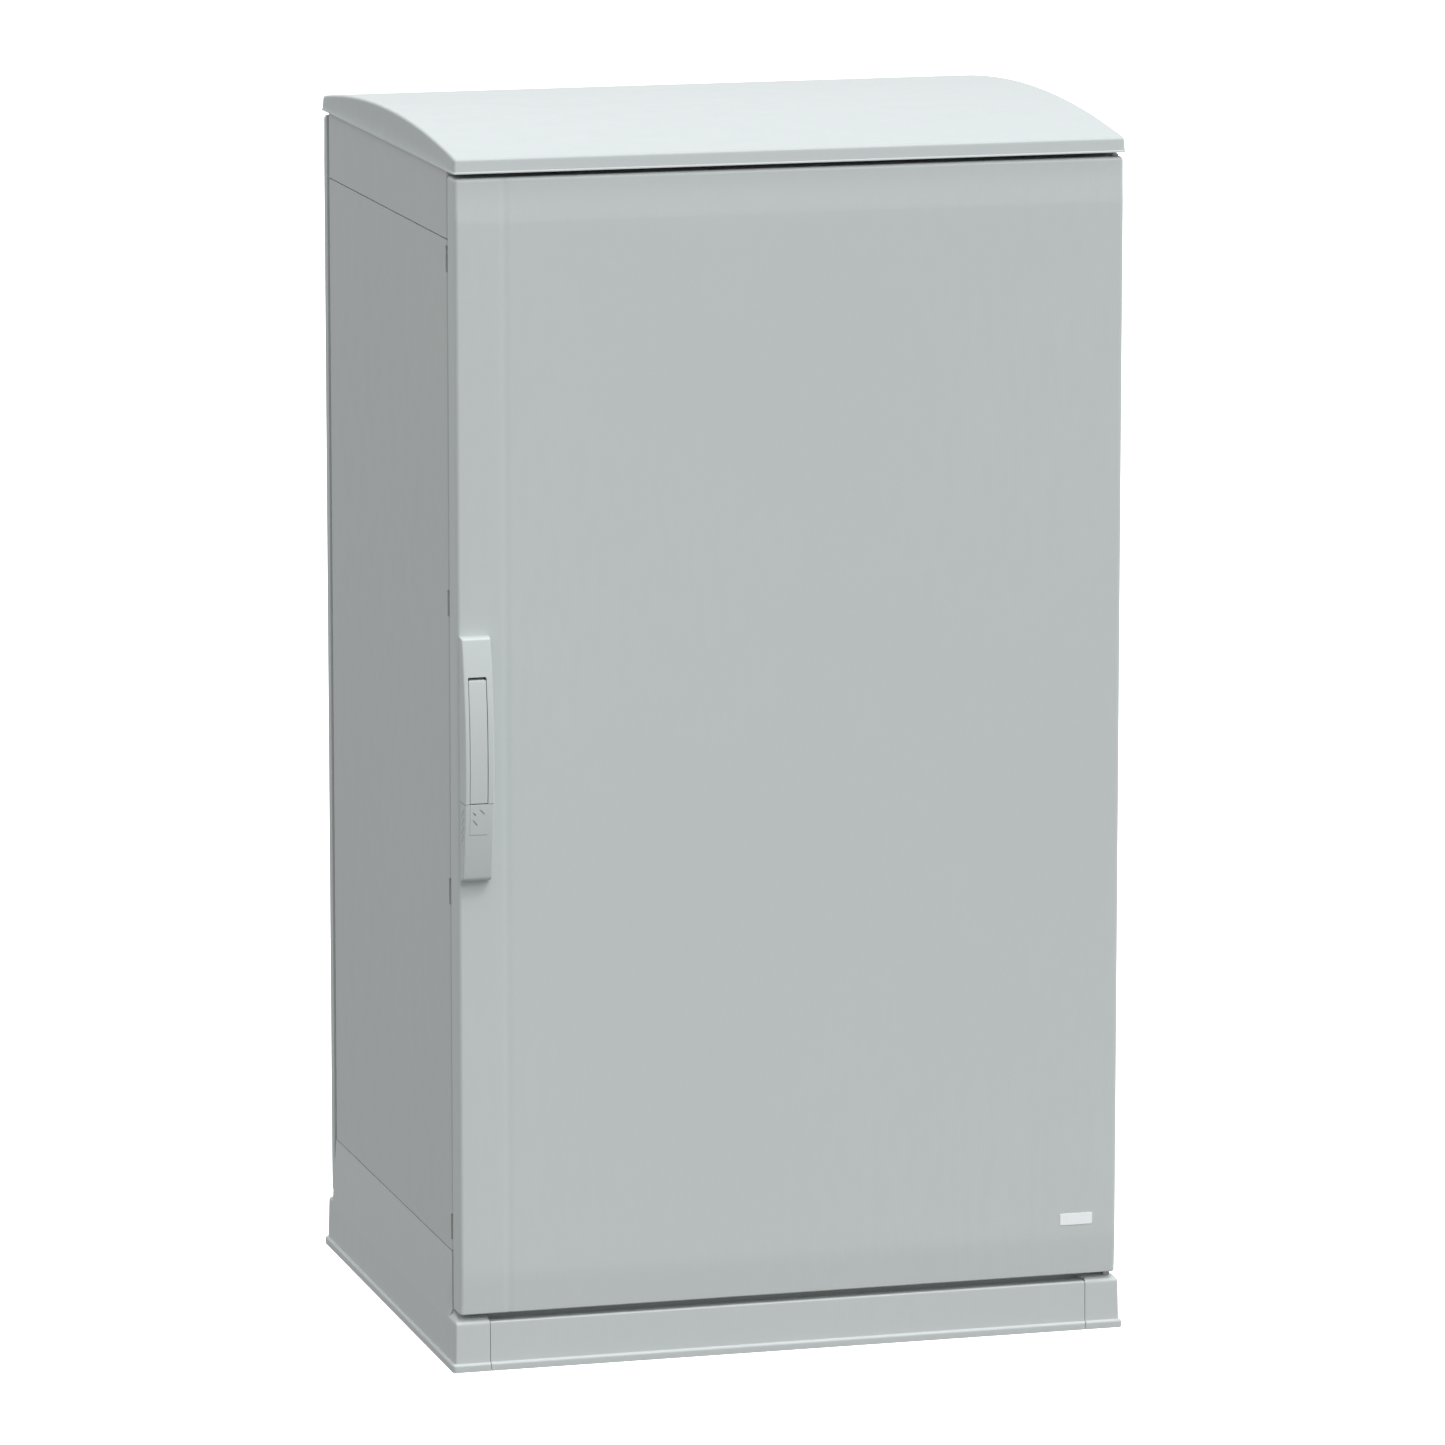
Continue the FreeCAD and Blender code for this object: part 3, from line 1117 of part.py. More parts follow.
def sill_front():
    holes = [rod_y(BODY_FRONT - 1, BODY_FRONT + WALL + 1, HINGE_SCREW_X, z, M4_HOLE_R)
             for z in hinge_screw_heights(False)]
    return minus(front_sill(), holes)


def subparts():
    left_rail = base_rail()
    front_left = upright(True)
    rear_left = upright(False)
    return {
        "plinth_left": plinth_side(),
        "plinth_right": plinth_right(),
        "plinth_front_cover": plinth_cover(True),
        "plinth_rear_cover": plinth_cover(False),
        "base_rail_left": left_rail,
        "base_rail_right": mirrored(left_rail),
        "sill_front": sill_front(),
        "sill_rear": front_to_rear(front_sill()),
        "sill_bolts": sill_bolts(),
        "side_panel_left": side_panel_left(),
        "side_panel_right": side_panel_right(),
        "top_frame": top_frame(),
        "upright_front_left": front_left,
        "upright_front_right": mirrored(front_left),
        "upright_rear_left": rear_left,
        "upright_rear_right": mirrored(rear_left),
        "roof_seal": roof_seal(),
        "roof_panel": roof_panel(),
        "canopy": canopy(),
        "canopy_bosses": canopy_bosses(),
        "canopy_bolts": canopy_bolts(),
        "rear_panel": rear_panel(),
        "rear_stiffener": rear_stiffener(),
        "rear_seal": rear_seal(),
        "rear_panel_screws": rear_panel_screws(),
        "gland_plate": gland_plate(),
        "gland_plate_screws": gland_plate_screws(),
        "cable_grommets": cable_grommets(),
        "mounting_plate": mounting_plate(),
        "plate_brackets": plate_brackets(),
        "plate_bolts": plate_bolts(),
        "bracket_screws": bracket_screws(),
        "earth_stud": earth_stud(),
        "hinge_bracket_top": hinge_bracket(True),
        "hinge_bracket_bottom": hinge_bracket(False),
        "hinge_pin_top": hinge_pin(True),
        "hinge_pin_bottom": hinge_pin(False),
        "thrust_washer": thrust_washer(),
        "hinge_screws": hinge_screws(),
        "lock_keepers": lock_keepers(),
        "keeper_screws": keeper_screws(),
        "door_panel": door_panel(),
        "door_stiffener": door_stiffener(),
        "door_seal": door_seal(),
        "hinge_bushes": hinge_bushes(),
        "label_plate": label_plate(),
        "handle_housing": handle_housing(),
        "handle_screws": handle_screws(),
        "lever_pin": lever_pin(),
        "rod_guides": rod_guides(),
        "handle_lever": handle_lever(),
        "lever_crank": lever_crank(),
        "crank_pins": crank_pins(),
        "lock_rod": lock_rod(),
        "rod_drive_block": rod_drive_block(),
        "lock_studs": lock_studs(),
        "lock_cover": lock_cover(),
        "lock_barrel": lock_barrel(),
        "lock_tongue": lock_tongue(),
    }


def main():
    os.makedirs("parts", exist_ok=True)
    for name, shape in subparts().items():
        print(name, "valid" if shape.isValid() else "INVALID", len(shape.Solids), round(shape.Volume))
        shape.exportStep("parts/" + name + ".step")


main()
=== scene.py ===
import bmesh
import bpy
import json
import math
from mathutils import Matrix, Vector


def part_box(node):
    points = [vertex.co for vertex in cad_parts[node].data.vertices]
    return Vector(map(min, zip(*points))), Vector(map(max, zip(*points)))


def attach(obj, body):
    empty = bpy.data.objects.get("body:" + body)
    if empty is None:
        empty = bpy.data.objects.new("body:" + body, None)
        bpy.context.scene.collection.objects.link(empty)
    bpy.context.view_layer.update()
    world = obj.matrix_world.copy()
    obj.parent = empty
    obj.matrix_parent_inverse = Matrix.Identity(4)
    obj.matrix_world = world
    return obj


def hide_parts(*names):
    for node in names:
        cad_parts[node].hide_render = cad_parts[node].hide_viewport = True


# Outdoor service cabinet of light grey moulded polyester: the looks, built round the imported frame.
# Metres, +X to the right of a person facing the door, -Y out of the door, +Z up.

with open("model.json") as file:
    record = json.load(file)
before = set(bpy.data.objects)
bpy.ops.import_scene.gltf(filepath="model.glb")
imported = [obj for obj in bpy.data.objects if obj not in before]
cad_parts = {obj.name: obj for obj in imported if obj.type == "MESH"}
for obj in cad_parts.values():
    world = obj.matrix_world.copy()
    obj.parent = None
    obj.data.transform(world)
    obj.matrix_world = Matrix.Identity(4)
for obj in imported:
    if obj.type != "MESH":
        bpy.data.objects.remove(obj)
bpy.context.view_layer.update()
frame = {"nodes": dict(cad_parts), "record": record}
NODES = frame["nodes"]

MM = 0.001

# ---------------------------------------------------------------- boxes read from the frame
DOOR_LOW, DOOR_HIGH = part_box("door_panel")
REAR_LOW, REAR_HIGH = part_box("rear_panel")
CANOPY_LOW, CANOPY_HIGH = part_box("canopy")
PLINTH_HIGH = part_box("plinth_left")[1]
COVER_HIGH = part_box("plinth_front_cover")[1]
SIDE_LOW, SIDE_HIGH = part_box("side_panel_left")
HOUSING_LOW, HOUSING_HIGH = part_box("handle_housing")
LEVER_LOW, LEVER_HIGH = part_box("handle_lever")
LOCK_LOW, LOCK_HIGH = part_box("lock_cover")
BARREL_LOW, BARREL_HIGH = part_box("lock_barrel")
TONGUE_LOW, TONGUE_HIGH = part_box("lock_tongue")
LABEL_LOW, LABEL_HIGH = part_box("label_plate")
PIN_LOW, PIN_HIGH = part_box("lever_pin")

WALL = 4.0 * MM
TOUCH = 1e-6                    # coordinates closer than this are taken as equal

# ---------------------------------------------------------------- sizes of the door and the rear panel
DOOR_FACE = DOOR_LOW.y
DOOR_EDGE_R = 4.4 * MM
CUT_EDGE = 0.9 * MM             # small rounding of the two panels' cut edges
LOWER_EDGE_SHARE = 0.42         # height of the lower edge's rounding against the others'
SETBACK_FADE = 20 * MM          # the face's shape fades out over this depth
BAND_TOP_START = 1312.0 * MM
BAND_TOP_END = 1358.0 * MM
BAND_TOP_DEPTH = 1.8 * MM
BAND_TOP_POWER = 0.72
BAND_LOW_CREASE = 111.0 * MM
BAND_LOW_SLOPE = 2.55 / 43.0
BAND_LOW_SOFTNESS = 5.0 * MM
BAND_LOW_END = 60 * MM          # above the crease the band's last trace is dropped here
GROOVE_X = -333.5 * MM
GROOVE_HALF = 7.6 * MM
GROOVE_DEPTH = 0.62 * MM
CRANK_SLOT_HALF = 4 * MM
CRANK_SLOT_REACH = 11.5 * MM    # past the lever's pin, up and down
REAR_RIM_Y = 306 * MM
BOSS_X = (369 * MM, 387 * MM)   # hinge bosses on the door's inner side
BOSS_Y = (DOOR_FACE + 3 * MM, -296 * MM)
BOSS_START, BOSS_END = 2.6 * MM, 34 * MM    # measured from the door's end
BOSS_EDGE = 1.2 * MM

# ---------------------------------------------------------------- sizes of the canopy
EAVE_RISE = 17.0 * MM           # fascia height from the canopy's lower edge
EAVE_R = 3.2 * MM
LIP_HEIGHT = 1.3 * MM           # thin lip along the lower edge
LIP_REACH = 0.7 * MM
FASCIA_LEAN = 2.0 * MM
END_LEAN = 1.0 * MM
SHELL_EDGE = 1.2 * MM

# ---------------------------------------------------------------- sizes of the plinth
PLINTH_RIM = 55.5 * MM          # top edge of the corner returns' upright walls
PLINTH_CAP = 60.6 * MM          # flat top of the corner returns
PLINTH_LEAN = 1.5 * MM          # lean of the walls from the floor to the rim
PLINTH_CORNER_R = 2.0 * MM
CORNER_LEAST_R = 0.4 * MM
CORNER_GROWTH = 0.45           # growth of that radius with the distance outside the rim line
PLINTH_WALL = 3.6 * MM
PLINTH_EDGE = 0.7 * MM
MERGE = 0.02 * MM               # points of the mouldings closer than this become one
RIM_X = 394.6 * MM
RIM_Y = 318.8 * MM
RIM_STEP = 0.25 * MM            # the wall leans in this far over its last 2 mm
FLANGE_REACH = 4.4 * MM
FLANGE_FACE = 6.5 * MM          # height of the foot's upright face
BLEND_TOP = 9.7 * MM            # height where the foot's rounding meets the wall
WALL_START = 12 * MM
COVER_RISE = 1.0 * MM           # top edge of the covers above the rim
COVER_TOP_R = 2.0 * MM
COVER_SHELF = 18.0 * MM         # reach of the shelf behind that edge
CAP_END_R = 3.5 * MM            # the corner caps round down over this length at the joint
SIDE_PLANE_X = 389.5 * MM       # outer face of the side wall near its top
WAIST_POWER = 1.15
SIDE_FRONT_REACH = 3 * MM       # the side wall starts this far in front of the side panel
PULL_LENGTH = 14 * MM           # it turns in to the door's line over this length
PULL_RISE = 9 * MM
FRONT_EDGE_X = -390.2 * MM

CAP_TOP_FRONT = 4 * MM          # the front cap ends this far in front of the side wall
CAP_TOP_REAR = 1 * MM           # and the rear one this far behind it
CORNER_START_X = -380 * MM      # the returns are straight up to here

# ---------------------------------------------------------------- sizes of the handle
HANDLE_X = (HOUSING_LOW.x + HOUSING_HIGH.x) / 2
HANDLE_HALF = (HOUSING_HIGH.x - HOUSING_LOW.x) / 2
HANDLE_LOW_Z = LOCK_LOW.z
HANDLE_HIGH_Z = HOUSING_HIGH.z
HANDLE_MID_Z = (HANDLE_LOW_Z + HANDLE_HIGH_Z) / 2
HANDLE_DEPTH = DOOR_FACE - HOUSING_LOW.y - 0.05 * MM
HANDLE_ARC_R = 612.0 * MM
HANDLE_BLOCK = 20 * MM          # depth of the straight blocks that are bent to the bow
BOW_KEEP = 6 * MM               # this much of their front moves as one
SIDE_EDGE_R = 2.0 * MM
FRAME_GAP = 0.6 * MM            # from the frame to the lever and to the cap
FRAME_TOP_R = 3.2 * MM
RECESS_RISE = 2.5 * MM          # room above the lever
RECESS_CORNER_R = 1.2 * MM
RECESS_FLOOR = 1.9 * MM         # thickness of the floor behind the lever
LEVER_INSET = 0.35 * MM
LEVER_BACK = 8 * MM             # from the door's face to the lever's back
LEVER_KEEP = 4 * MM             # this much of the lever's front moves as one
LEVER_HEEL_R = 9.3 * MM         # the lever's upper end stays within this reach of its pin
SEAT_HALF = 14.7 * MM
SEAT_DEPTH = 18 * MM
SEAT_LOW_Z = 625 * MM
SEAT_BORE_SIDES = 48
STEP_DEPTH = 13 * MM
STEP_ZS = [595 * MM, 610 * MM]
TONGUE_SIDE_GAP = 1.5 * MM
TONGUE_END_GAP = 1.0 * MM

# ---------------------------------------------------------------- sizes of the lock cover's marks
CAP_TOE_R = 5.0 * MM
CAP_WALL = 2.0 * MM
CAP_BACK = 0.5 * MM
MARK_HALF = 0.55 * MM
MARK_DEPTH = 1.5 * MM
# ends of the three strokes, in mm: across from the handle's middle, and height
CAP_STROKES = (((-7.5, 643.5), (-2.6, 637.6)),
               ((0.6, 655.4), (5.6, 650.2)),
               ((-7.6, 652.4), (-4.4, 649.2)))
CAP_GRIPS = (650.0, 640.5, 631.0, 621.5)    # heights of the slanting grips, in mm
GRIP_FALL, GRIP_RISE = 5.4, 5.0             # from a grip's height to its two ends, in mm
GRIP_NEAR, GRIP_FAR = 8 * MM, 18.4 * MM     # distance of those ends from the door's face
SQUARE_LEFT, SQUARE_RIGHT = 10.8 * MM, 9.6 * MM
SQUARE_LOW_Z = 626.5 * MM
SQUARE_PROUD = 0.5 * MM


# ---------------------------------------------------------------- mesh helpers
def smoothstep(t):
    t = min(1.0, max(0.0, t))
    return t * t * (3.0 - 2.0 * t)


def spread(start, end, count):
    """Evenly spaced values from start to end, both included."""
    return [start + (end - start) * i / (count - 1) for i in range(count)]


def grid_box(xs, ys, zs, filled=None):
    """Closed block on the given coordinates; `filled` may leave out cells by the place of their middle."""
    bm = bmesh.new()
    made = {}
    counts = (len(xs) - 1, len(ys) - 1, len(zs) - 1)
    sides = (((-1, 0, 0), ((0, 0, 0), (0, 0, 1), (0, 1, 1), (0, 1, 0))),
             ((1, 0, 0), ((1, 0, 0), (1, 1, 0), (1, 1, 1), (1, 0, 1))),
             ((0, -1, 0), ((0, 0, 0), (1, 0, 0), (1, 0, 1), (0, 0, 1))),
             ((0, 1, 0), ((0, 1, 0), (0, 1, 1), (1, 1, 1), (1, 1, 0))),
             ((0, 0, -1), ((0, 0, 0), (0, 1, 0), (1, 1, 0), (1, 0, 0))),
             ((0, 0, 1), ((0, 0, 1), (1, 0, 1), (1, 1, 1), (0, 1, 1))))

    def corner(place):
        if place not in made:
            made[place] = bm.verts.new((xs[place[0]], ys[place[1]], zs[place[2]]))
        return made[place]

    def solid(cell):
        if any(c < 0 or c >= n for c, n in zip(cell, counts)):
            return False
        middle = [(v[c] + v[c + 1]) / 2 for v, c in zip((xs, ys, zs), cell)]
        return filled is None or filled(*middle)

    for i in range(counts[0]):
        for j in range(counts[1]):
            for k in range(counts[2]):
                if not solid((i, j, k)):
                    continue
                for step, quad in sides:
                    if not solid((i + step[0], j + step[1], k + step[2])):
                        bm.faces.new([corner((i + a, j + b, k + c)) for a, b, c in quad])
    bm.normal_update()
    return bm


def delete_faces(bm, test):
    """Delete the faces whose centre and normal pass the test."""
    gone = [f for f in bm.faces if test(f.calc_center_median(), f.normal)]
    bmesh.ops.delete(bm, geom=gone, context="FACES")


def round_edges(bm, radius, segments, test):
    """Round the sharp edges whose two ends pass the test."""
    bm.normal_update()
    edges = [e for e in bm.edges if len(e.link_faces) == 2 and e.calc_face_angle(0) > 0.9
             and test(e.verts[0].co, e.verts[1].co)]
    bmesh.ops.bevel(bm, geom=edges, offset=radius, segments=segments, profile=0.5,
                    affect="EDGES", clamp_overlap=False)
    bm.normal_update()


def finish_mesh(bm, name, body, slot, stands_for=(), wall=0.0, edge=0.0, even=True):
    """Turn a bmesh into a piece of the slot's material, with an optional wall and small edge rounding."""
    mesh = bpy.data.meshes.new(name)
    bm.to_mesh(mesh)
    bm.free()
    piece = bpy.data.objects.new(name, mesh)
    bpy.context.scene.collection.objects.link(piece)
    mesh.materials.append(MATERIALS[slot])
    if wall:
        solid = piece.modifiers.new("wall", "SOLIDIFY")
        solid.thickness = wall
        solid.offset = -1.0
        solid.use_even_offset = even
    if edge:
        bevel = piece.modifiers.new("edge", "BEVEL")
        bevel.width = edge
        bevel.segments = 3
        bevel.limit_method = "ANGLE"
        bevel.angle_limit = math.radians(40)
        bevel.harden_normals = False
    shade(piece)
    if stands_for:
        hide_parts(*stands_for)
    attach(piece, body)
    return piece


def shade(piece, limit_deg=32.0):
    """Smooth shading that stays sharp over the limit angle, weighted by face area."""
    for polygon in piece.data.polygons:
        polygon.use_smooth = True
    bm = bmesh.new()
    bm.from_mesh(piece.data)
    for edge in bm.edges:
        if len(edge.link_faces) == 2 and edge.calc_face_angle(0) > math.radians(limit_deg):
            edge.smooth = False
    bm.to_mesh(piece.data)
    bm.free()
    weighted = piece.modifiers.new("normals", "WEIGHTED_NORMAL")
    weighted.keep_sharp = True
    weighted.weight = 60


# ---------------------------------------------------------------- materials
def new_material(name):
    material = bpy.data.materials.new(name)
    material.use_nodes = True
    tree = material.node_tree
    tree.nodes.clear()
    output = tree.nodes.new("ShaderNodeOutputMaterial")
    shader = tree.nodes.new("ShaderNodeBsdfPrincipled")
    tree.links.new(shader.outputs["BSDF"], output.inputs["Surface"])
    return material, tree, shader


def texture_space(tree, stretch=(1.0, 1.0, 1.0)):
    coordinates = tree.nodes.new("ShaderNodeTexCoord")
    mapping = tree.nodes.new("ShaderNodeMapping")
    mapping.inputs["Scale"].default_value = stretch
    tree.links.new(coordinates.outputs["Object"], mapping.inputs["Vector"])
    return mapping.outputs["Vector"]


def noise(tree, space, scale, detail=3.0, rough=0.5):
    node = tree.nodes.new("ShaderNodeTexNoise")
    node.inputs["Scale"].default_value = scale
    node.inputs["Detail"].default_value = detail
    node.inputs["Roughness"].default_value = rough
    tree.links.new(space, node.inputs["Vector"])
    return node.outputs["Fac"]


def remap(tree, value, low, high, from_low=0.3, from_high=0.7):
    node = tree.nodes.new("ShaderNodeMapRange")
    node.inputs["From Min"].default_value = from_low
    node.inputs["From Max"].default_value = from_high
    node.inputs["To Min"].default_value = low
    node.inputs["To Max"].default_value = high
    tree.links.new(value, node.inputs["Value"])
    return node.outputs["Result"]


def mix_colour(tree, factor, first, second):
    node = tree.nodes.new("ShaderNodeMix")
    node.data_type = "RGBA"
    tree.links.new(factor, node.inputs["Factor"])
    for socket, value in (("A", first), ("B", second)):
        target = [s for s in node.inputs if s.name == socket and s.type == "RGBA"][0]
        if isinstance(value, tuple):
            target.default_value = (*value, 1.0)
        else:
            tree.links.new(value, target)
    return [s for s in node.outputs if s.type == "RGBA"][0]


def bump(tree, shader, height, distance, strength, below=None):
    node = tree.nodes.new("ShaderNodeBump")
    node.inputs["Distance"].default_value = distance
    node.inputs["Strength"].default_value = strength
    tree.links.new(height, node.inputs["Height"])
    if below is not None:
        tree.links.new(below, node.inputs["Normal"])
    tree.links.new(node.outputs["Normal"], shader.inputs["Normal"])
    return node.outputs["Normal"]


def shaded(colour, factor):
    return tuple(min(1.0, c * factor) for c in colour)


def moulded_polyester(name, colour, grain=1.0, rough=0.46):
    """Moulded glass-reinforced polyester: cloudy tint, faint fibre show-through, fine satin grain."""
    material, tree, shader = new_material(name)
    space = texture_space(tree)
    clouds = remap(tree, noise(tree, space, 2.3, 2.0), 0.0, 1.0)
    tint = mix_colour(tree, clouds, shaded(colour, 0.988), shaded(colour, 1.012))
    flow = texture_space(tree, (1.0, 1.0, 0.22))
    fibres = remap(tree, noise(tree, flow, 95.0, 4.0, 0.62), 0.0, 1.0, 0.42, 0.66)
    fibre_tint = mix_colour(tree, fibres, tint, shaded(colour, 0.992))
    specks = remap(tree, noise(tree, space, 640.0, 1.0), 0.0, 1.0, 0.60, 0.78)
    speck_tint = mix_colour(tree, specks, fibre_tint, shaded(colour, 0.955))
    tree.links.new(speck_tint, shader.inputs["Base Color"])
    gloss = remap(tree, noise(tree, space, 26.0, 4.0), rough - 0.05, rough + 0.06)
    tree.links.new(gloss, shader.inputs["Roughness"])
    shader.inputs["Specular IOR Level"].default_value = 0.42
    waviness = bump(tree, shader, noise(tree, space, 11.0, 1.0), 0.35 * MM, 0.10)
    grain_height = noise(tree, space, 1350.0, 2.0, 0.6)
    bump(tree, shader, grain_height, 0.06 * MM, 0.28 * grain, waviness)
    return material


def moulded_plastic(name, colour, rough=0.38):
    """Smooth satin injection moulding with a very fine spark-eroded texture."""
    material, tree, shader = new_material(name)
    space = texture_space(tree)
    clouds = remap(tree, noise(tree, space, 14.0, 2.0), 0.0, 1.0)
    tint = mix_colour(tree, clouds, shaded(colour, 0.985), shaded(colour, 1.01))
    tree.links.new(tint, shader.inputs["Base Color"])
    gloss = remap(tree, noise(tree, space, 120.0, 3.0), rough - 0.04, rough + 0.05)
    tree.links.new(gloss, shader.inputs["Roughness"])
    shader.inputs["Specular IOR Level"].default_value = 0.45
    bump(tree, shader, noise(tree, space, 2600.0, 2.0), 0.04 * MM, 0.25)
    return material


def sheet_metal(name, colour, rough, stretch, scale, grain=0.3):
    """Bare or plated metal with drawn grain, light handling marks and uneven gloss."""
    material, tree, shader = new_material(name)
    shader.inputs["Metallic"].default_value = 1.0
    grain_space = texture_space(tree, stretch)
    space = texture_space(tree)
    lines = noise(tree, grain_space, scale, 5.0, 0.65)
    tint = mix_colour(tree, remap(tree, lines, 0.0, 1.0), shaded(colour, 0.86), shaded(colour, 1.08))
    stains = remap(tree, noise(tree, space, 18.0, 4.0), 0.0, 1.0, 0.52, 0.72)
    tree.links.new(mix_colour(tree, stains, tint, shaded(colour, 0.8)), shader.inputs["Base Color"])
    tree.links.new(remap(tree, lines, rough - 0.08, rough + 0.1), shader.inputs["Roughness"])
    bump(tree, shader, lines, 0.05 * MM, grain)
    return material


def galvanised(name, colour):
    """Hot-dip galvanised sheet with its spangle."""
    material, tree, shader = new_material(name)
    shader.inputs["Metallic"].default_value = 1.0
    space = texture_space(tree)
    spangle = tree.nodes.new("ShaderNodeTexVoronoi")
    spangle.inputs["Scale"].default_value = 85.0
    tree.links.new(space, spangle.inputs["Vector"])
    flake = tree.nodes.new("ShaderNodeSeparateColor")
    tree.links.new(spangle.outputs["Color"], flake.inputs["Color"])
    tint = mix_colour(tree, flake.outputs["Red"], shaded(colour, 0.84), shaded(colour, 1.06))
    dull = remap(tree, noise(tree, space, 7.0, 4.0), 0.0, 1.0, 0.45, 0.75)
    tree.links.new(mix_colour(tree, dull, tint, shaded(colour, 0.82)), shader.inputs["Base Color"])
    tree.links.new(remap(tree, flake.outputs["Green"], 0.36, 0.56, 0.0, 1.0), shader.inputs["Roughness"])
    bump(tree, shader, noise(tree, space, 900.0, 3.0), 0.04 * MM, 0.2)
    return material


def foam_rubber(name, colour):
    """Black foamed rubber with an open, slightly dusty skin."""
    material, tree, shader = new_material(name)
    space = texture_space(tree)
    dust = remap(tree, noise(tree, space, 60.0, 4.0), 0.0, 1.0, 0.5, 0.8)
    tint = mix_colour(tree, dust, colour, shaded(colour, 2.2))
    tree.links.new(tint, shader.inputs["Base Color"])
    tree.links.new(remap(tree, noise(tree, space, 300.0, 2.0), 0.7, 0.9), shader.inputs["Roughness"])
    bump(tree, shader, noise(tree, space, 1700.0, 2.0, 0.7), 0.12 * MM, 0.5)
    return material


def printed_film(name, colour):
    """Blank satin white film."""
    material, tree, shader = new_material(name)
    space = texture_space(tree)
    tint = mix_colour(tree, remap(tree, noise(tree, space, 160.0, 2.0), 0.0, 1.0),
                      shaded(colour, 0.985), colour)
    tree.links.new(tint, shader.inputs["Base Color"])
    tree.links.new(remap(tree, noise(tree, space, 420.0, 2.0), 0.26, 0.36), shader.inputs["Roughness"])
    bump(tree, shader, noise(tree, space, 2200.0, 1.0), 0.02 * MM, 0.2)
    return material


MATERIALS = {
    "grp_door": moulded_polyester("polyester_door", (0.560, 0.598, 0.594)),
    "grp_body": moulded_polyester("polyester_body", (0.545, 0.568, 0.556), 1.1, 0.5),
    "grp_canopy": moulded_polyester("polyester_canopy", (0.526, 0.561, 0.561), 0.9, 0.48),
    "grp_plinth": moulded_polyester("polyester_plinth", (0.545, 0.576, 0.572), 1.1, 0.55),
    "handle_plastic": moulded_plastic("plastic_handle", (0.568, 0.607, 0.606)),
    "zinc_steel": sheet_metal("steel_zinc", (0.62, 0.63, 0.65), 0.38, (1, 1, 0.06), 420.0),
    "stainless_steel": sheet_metal("steel_stainless", (0.60, 0.59, 0.57), 0.3, (0.1, 1, 1), 700.0),
    "galvanised_plate": galvanised("steel_galvanised", (0.60, 0.63, 0.65)),
    "seal_rubber": foam_rubber("rubber_seal", (0.018, 0.018, 0.02)),
    "guide_nylon": moulded_plastic("nylon_guide", (0.035, 0.035, 0.038), 0.42),
    "lock_metal": sheet_metal("metal_lock", (0.66, 0.65, 0.63), 0.26, (1, 1, 1), 900.0, 0.15),
    "label_white": printed_film("film_label", (0.92, 0.945, 0.955)),
    "earth_brass": sheet_metal("brass_earth", (0.74, 0.55, 0.24), 0.3, (1, 0.2, 1), 600.0),
}


def finish_cad_nodes():
    """Give every carried-over CAD node its procedural finish."""
    slot_of = {row["node"]: row["material_slot"] for row in frame["record"]["subparts"]}
    for name, node in NODES.items():
        node.data.materials.clear()
        node.data.materials.append(MATERIALS[slot_of[name]])


# ---------------------------------------------------------------- door and rear panel
def face_setback(x, z, grooved):
    """How far the panel's face lies behind its outermost plane at a point."""
    rise = (z - BAND_TOP_START) / (BAND_TOP_END - BAND_TOP_START)
    upper = BAND_TOP_DEPTH * smoothstep(max(0.0, rise) ** BAND_TOP_POWER)
    below = BAND_LOW_CREASE - z
    lower = BAND_LOW_SLOPE * 0.5 * (below + math.sqrt(below * below + BAND_LOW_SOFTNESS ** 2))
    if z > BAND_LOW_CREASE + BAND_LOW_END:
        lower = 0.0
    groove = 0.0
    if grooved:
        across = abs(x - GROOVE_X) / GROOVE_HALF
        if across < 1.0:
            groove = GROOVE_DEPTH * (0.5 + 0.5 * math.cos(math.pi * across))
    return upper + lower + groove


def panel_tray(low, high, outward, grooved, slot):
    """Pressed tray with rounded edges; outward is -1 where its face looks to -Y and +1 to +Y."""
    # lines of the mesh: close together along the edges, the groove and the two bands
    xs = [low.x, low.x + 10 * MM]
    if grooved:
        xs += [slot[0], slot[1]]
        xs += spread(GROOVE_X - GROOVE_HALF, GROOVE_X + GROOVE_HALF, 13)
    xs += [-200 * MM, 0.0, 200 * MM, high.x - 10 * MM, high.x]
    zs = [low.z, low.z + 8 * MM, 84 * MM, 95 * MM]
    zs += spread(101 * MM, 125 * MM, 9) + [160 * MM, 450 * MM]
    zs += [slot[2], slot[3]] if grooved else []
    zs += [1000 * MM, 1290 * MM] + spread(BAND_TOP_START, 1352 * MM, 15) + [high.z - 8 * MM, high.z]
    ys = [low.y, low.y + 12 * MM, high.y]
    if outward > 0:
        ys = [low.y, high.y - 12 * MM, high.y]
    face_y = low.y if outward < 0 else high.y
    back_y = high.y if outward < 0 else low.y

    bm = grid_box(sorted(xs), ys, zs)
    delete_faces(bm, lambda c, n: abs(c.y - back_y) < TOUCH)
    if grooved:
        delete_faces(bm, lambda c, n: abs(c.y - face_y) < TOUCH
                     and slot[0] < c.x < slot[1] and slot[2] < c.z < slot[3])
    near = 11 * MM              # an edge longer than this in depth is a corner of the rim
    round_edges(bm, DOOR_EDGE_R, 6, lambda a, b: abs(a.y - face_y) < TOUCH or abs(b.y - face_y) < TOUCH
                or abs(a.y - b.y) > near)
    for vert in bm.verts:
        if vert.co.z < low.z + DOOR_EDGE_R:
            vert.co.z = low.z + (vert.co.z - low.z) * LOWER_EDGE_SHARE
        share = 1.0 - min(1.0, abs(vert.co.y - face_y) / SETBACK_FADE)
        vert.co.y -= outward * face_setback(vert.co.x, vert.co.z, grooved) * share
    return bm


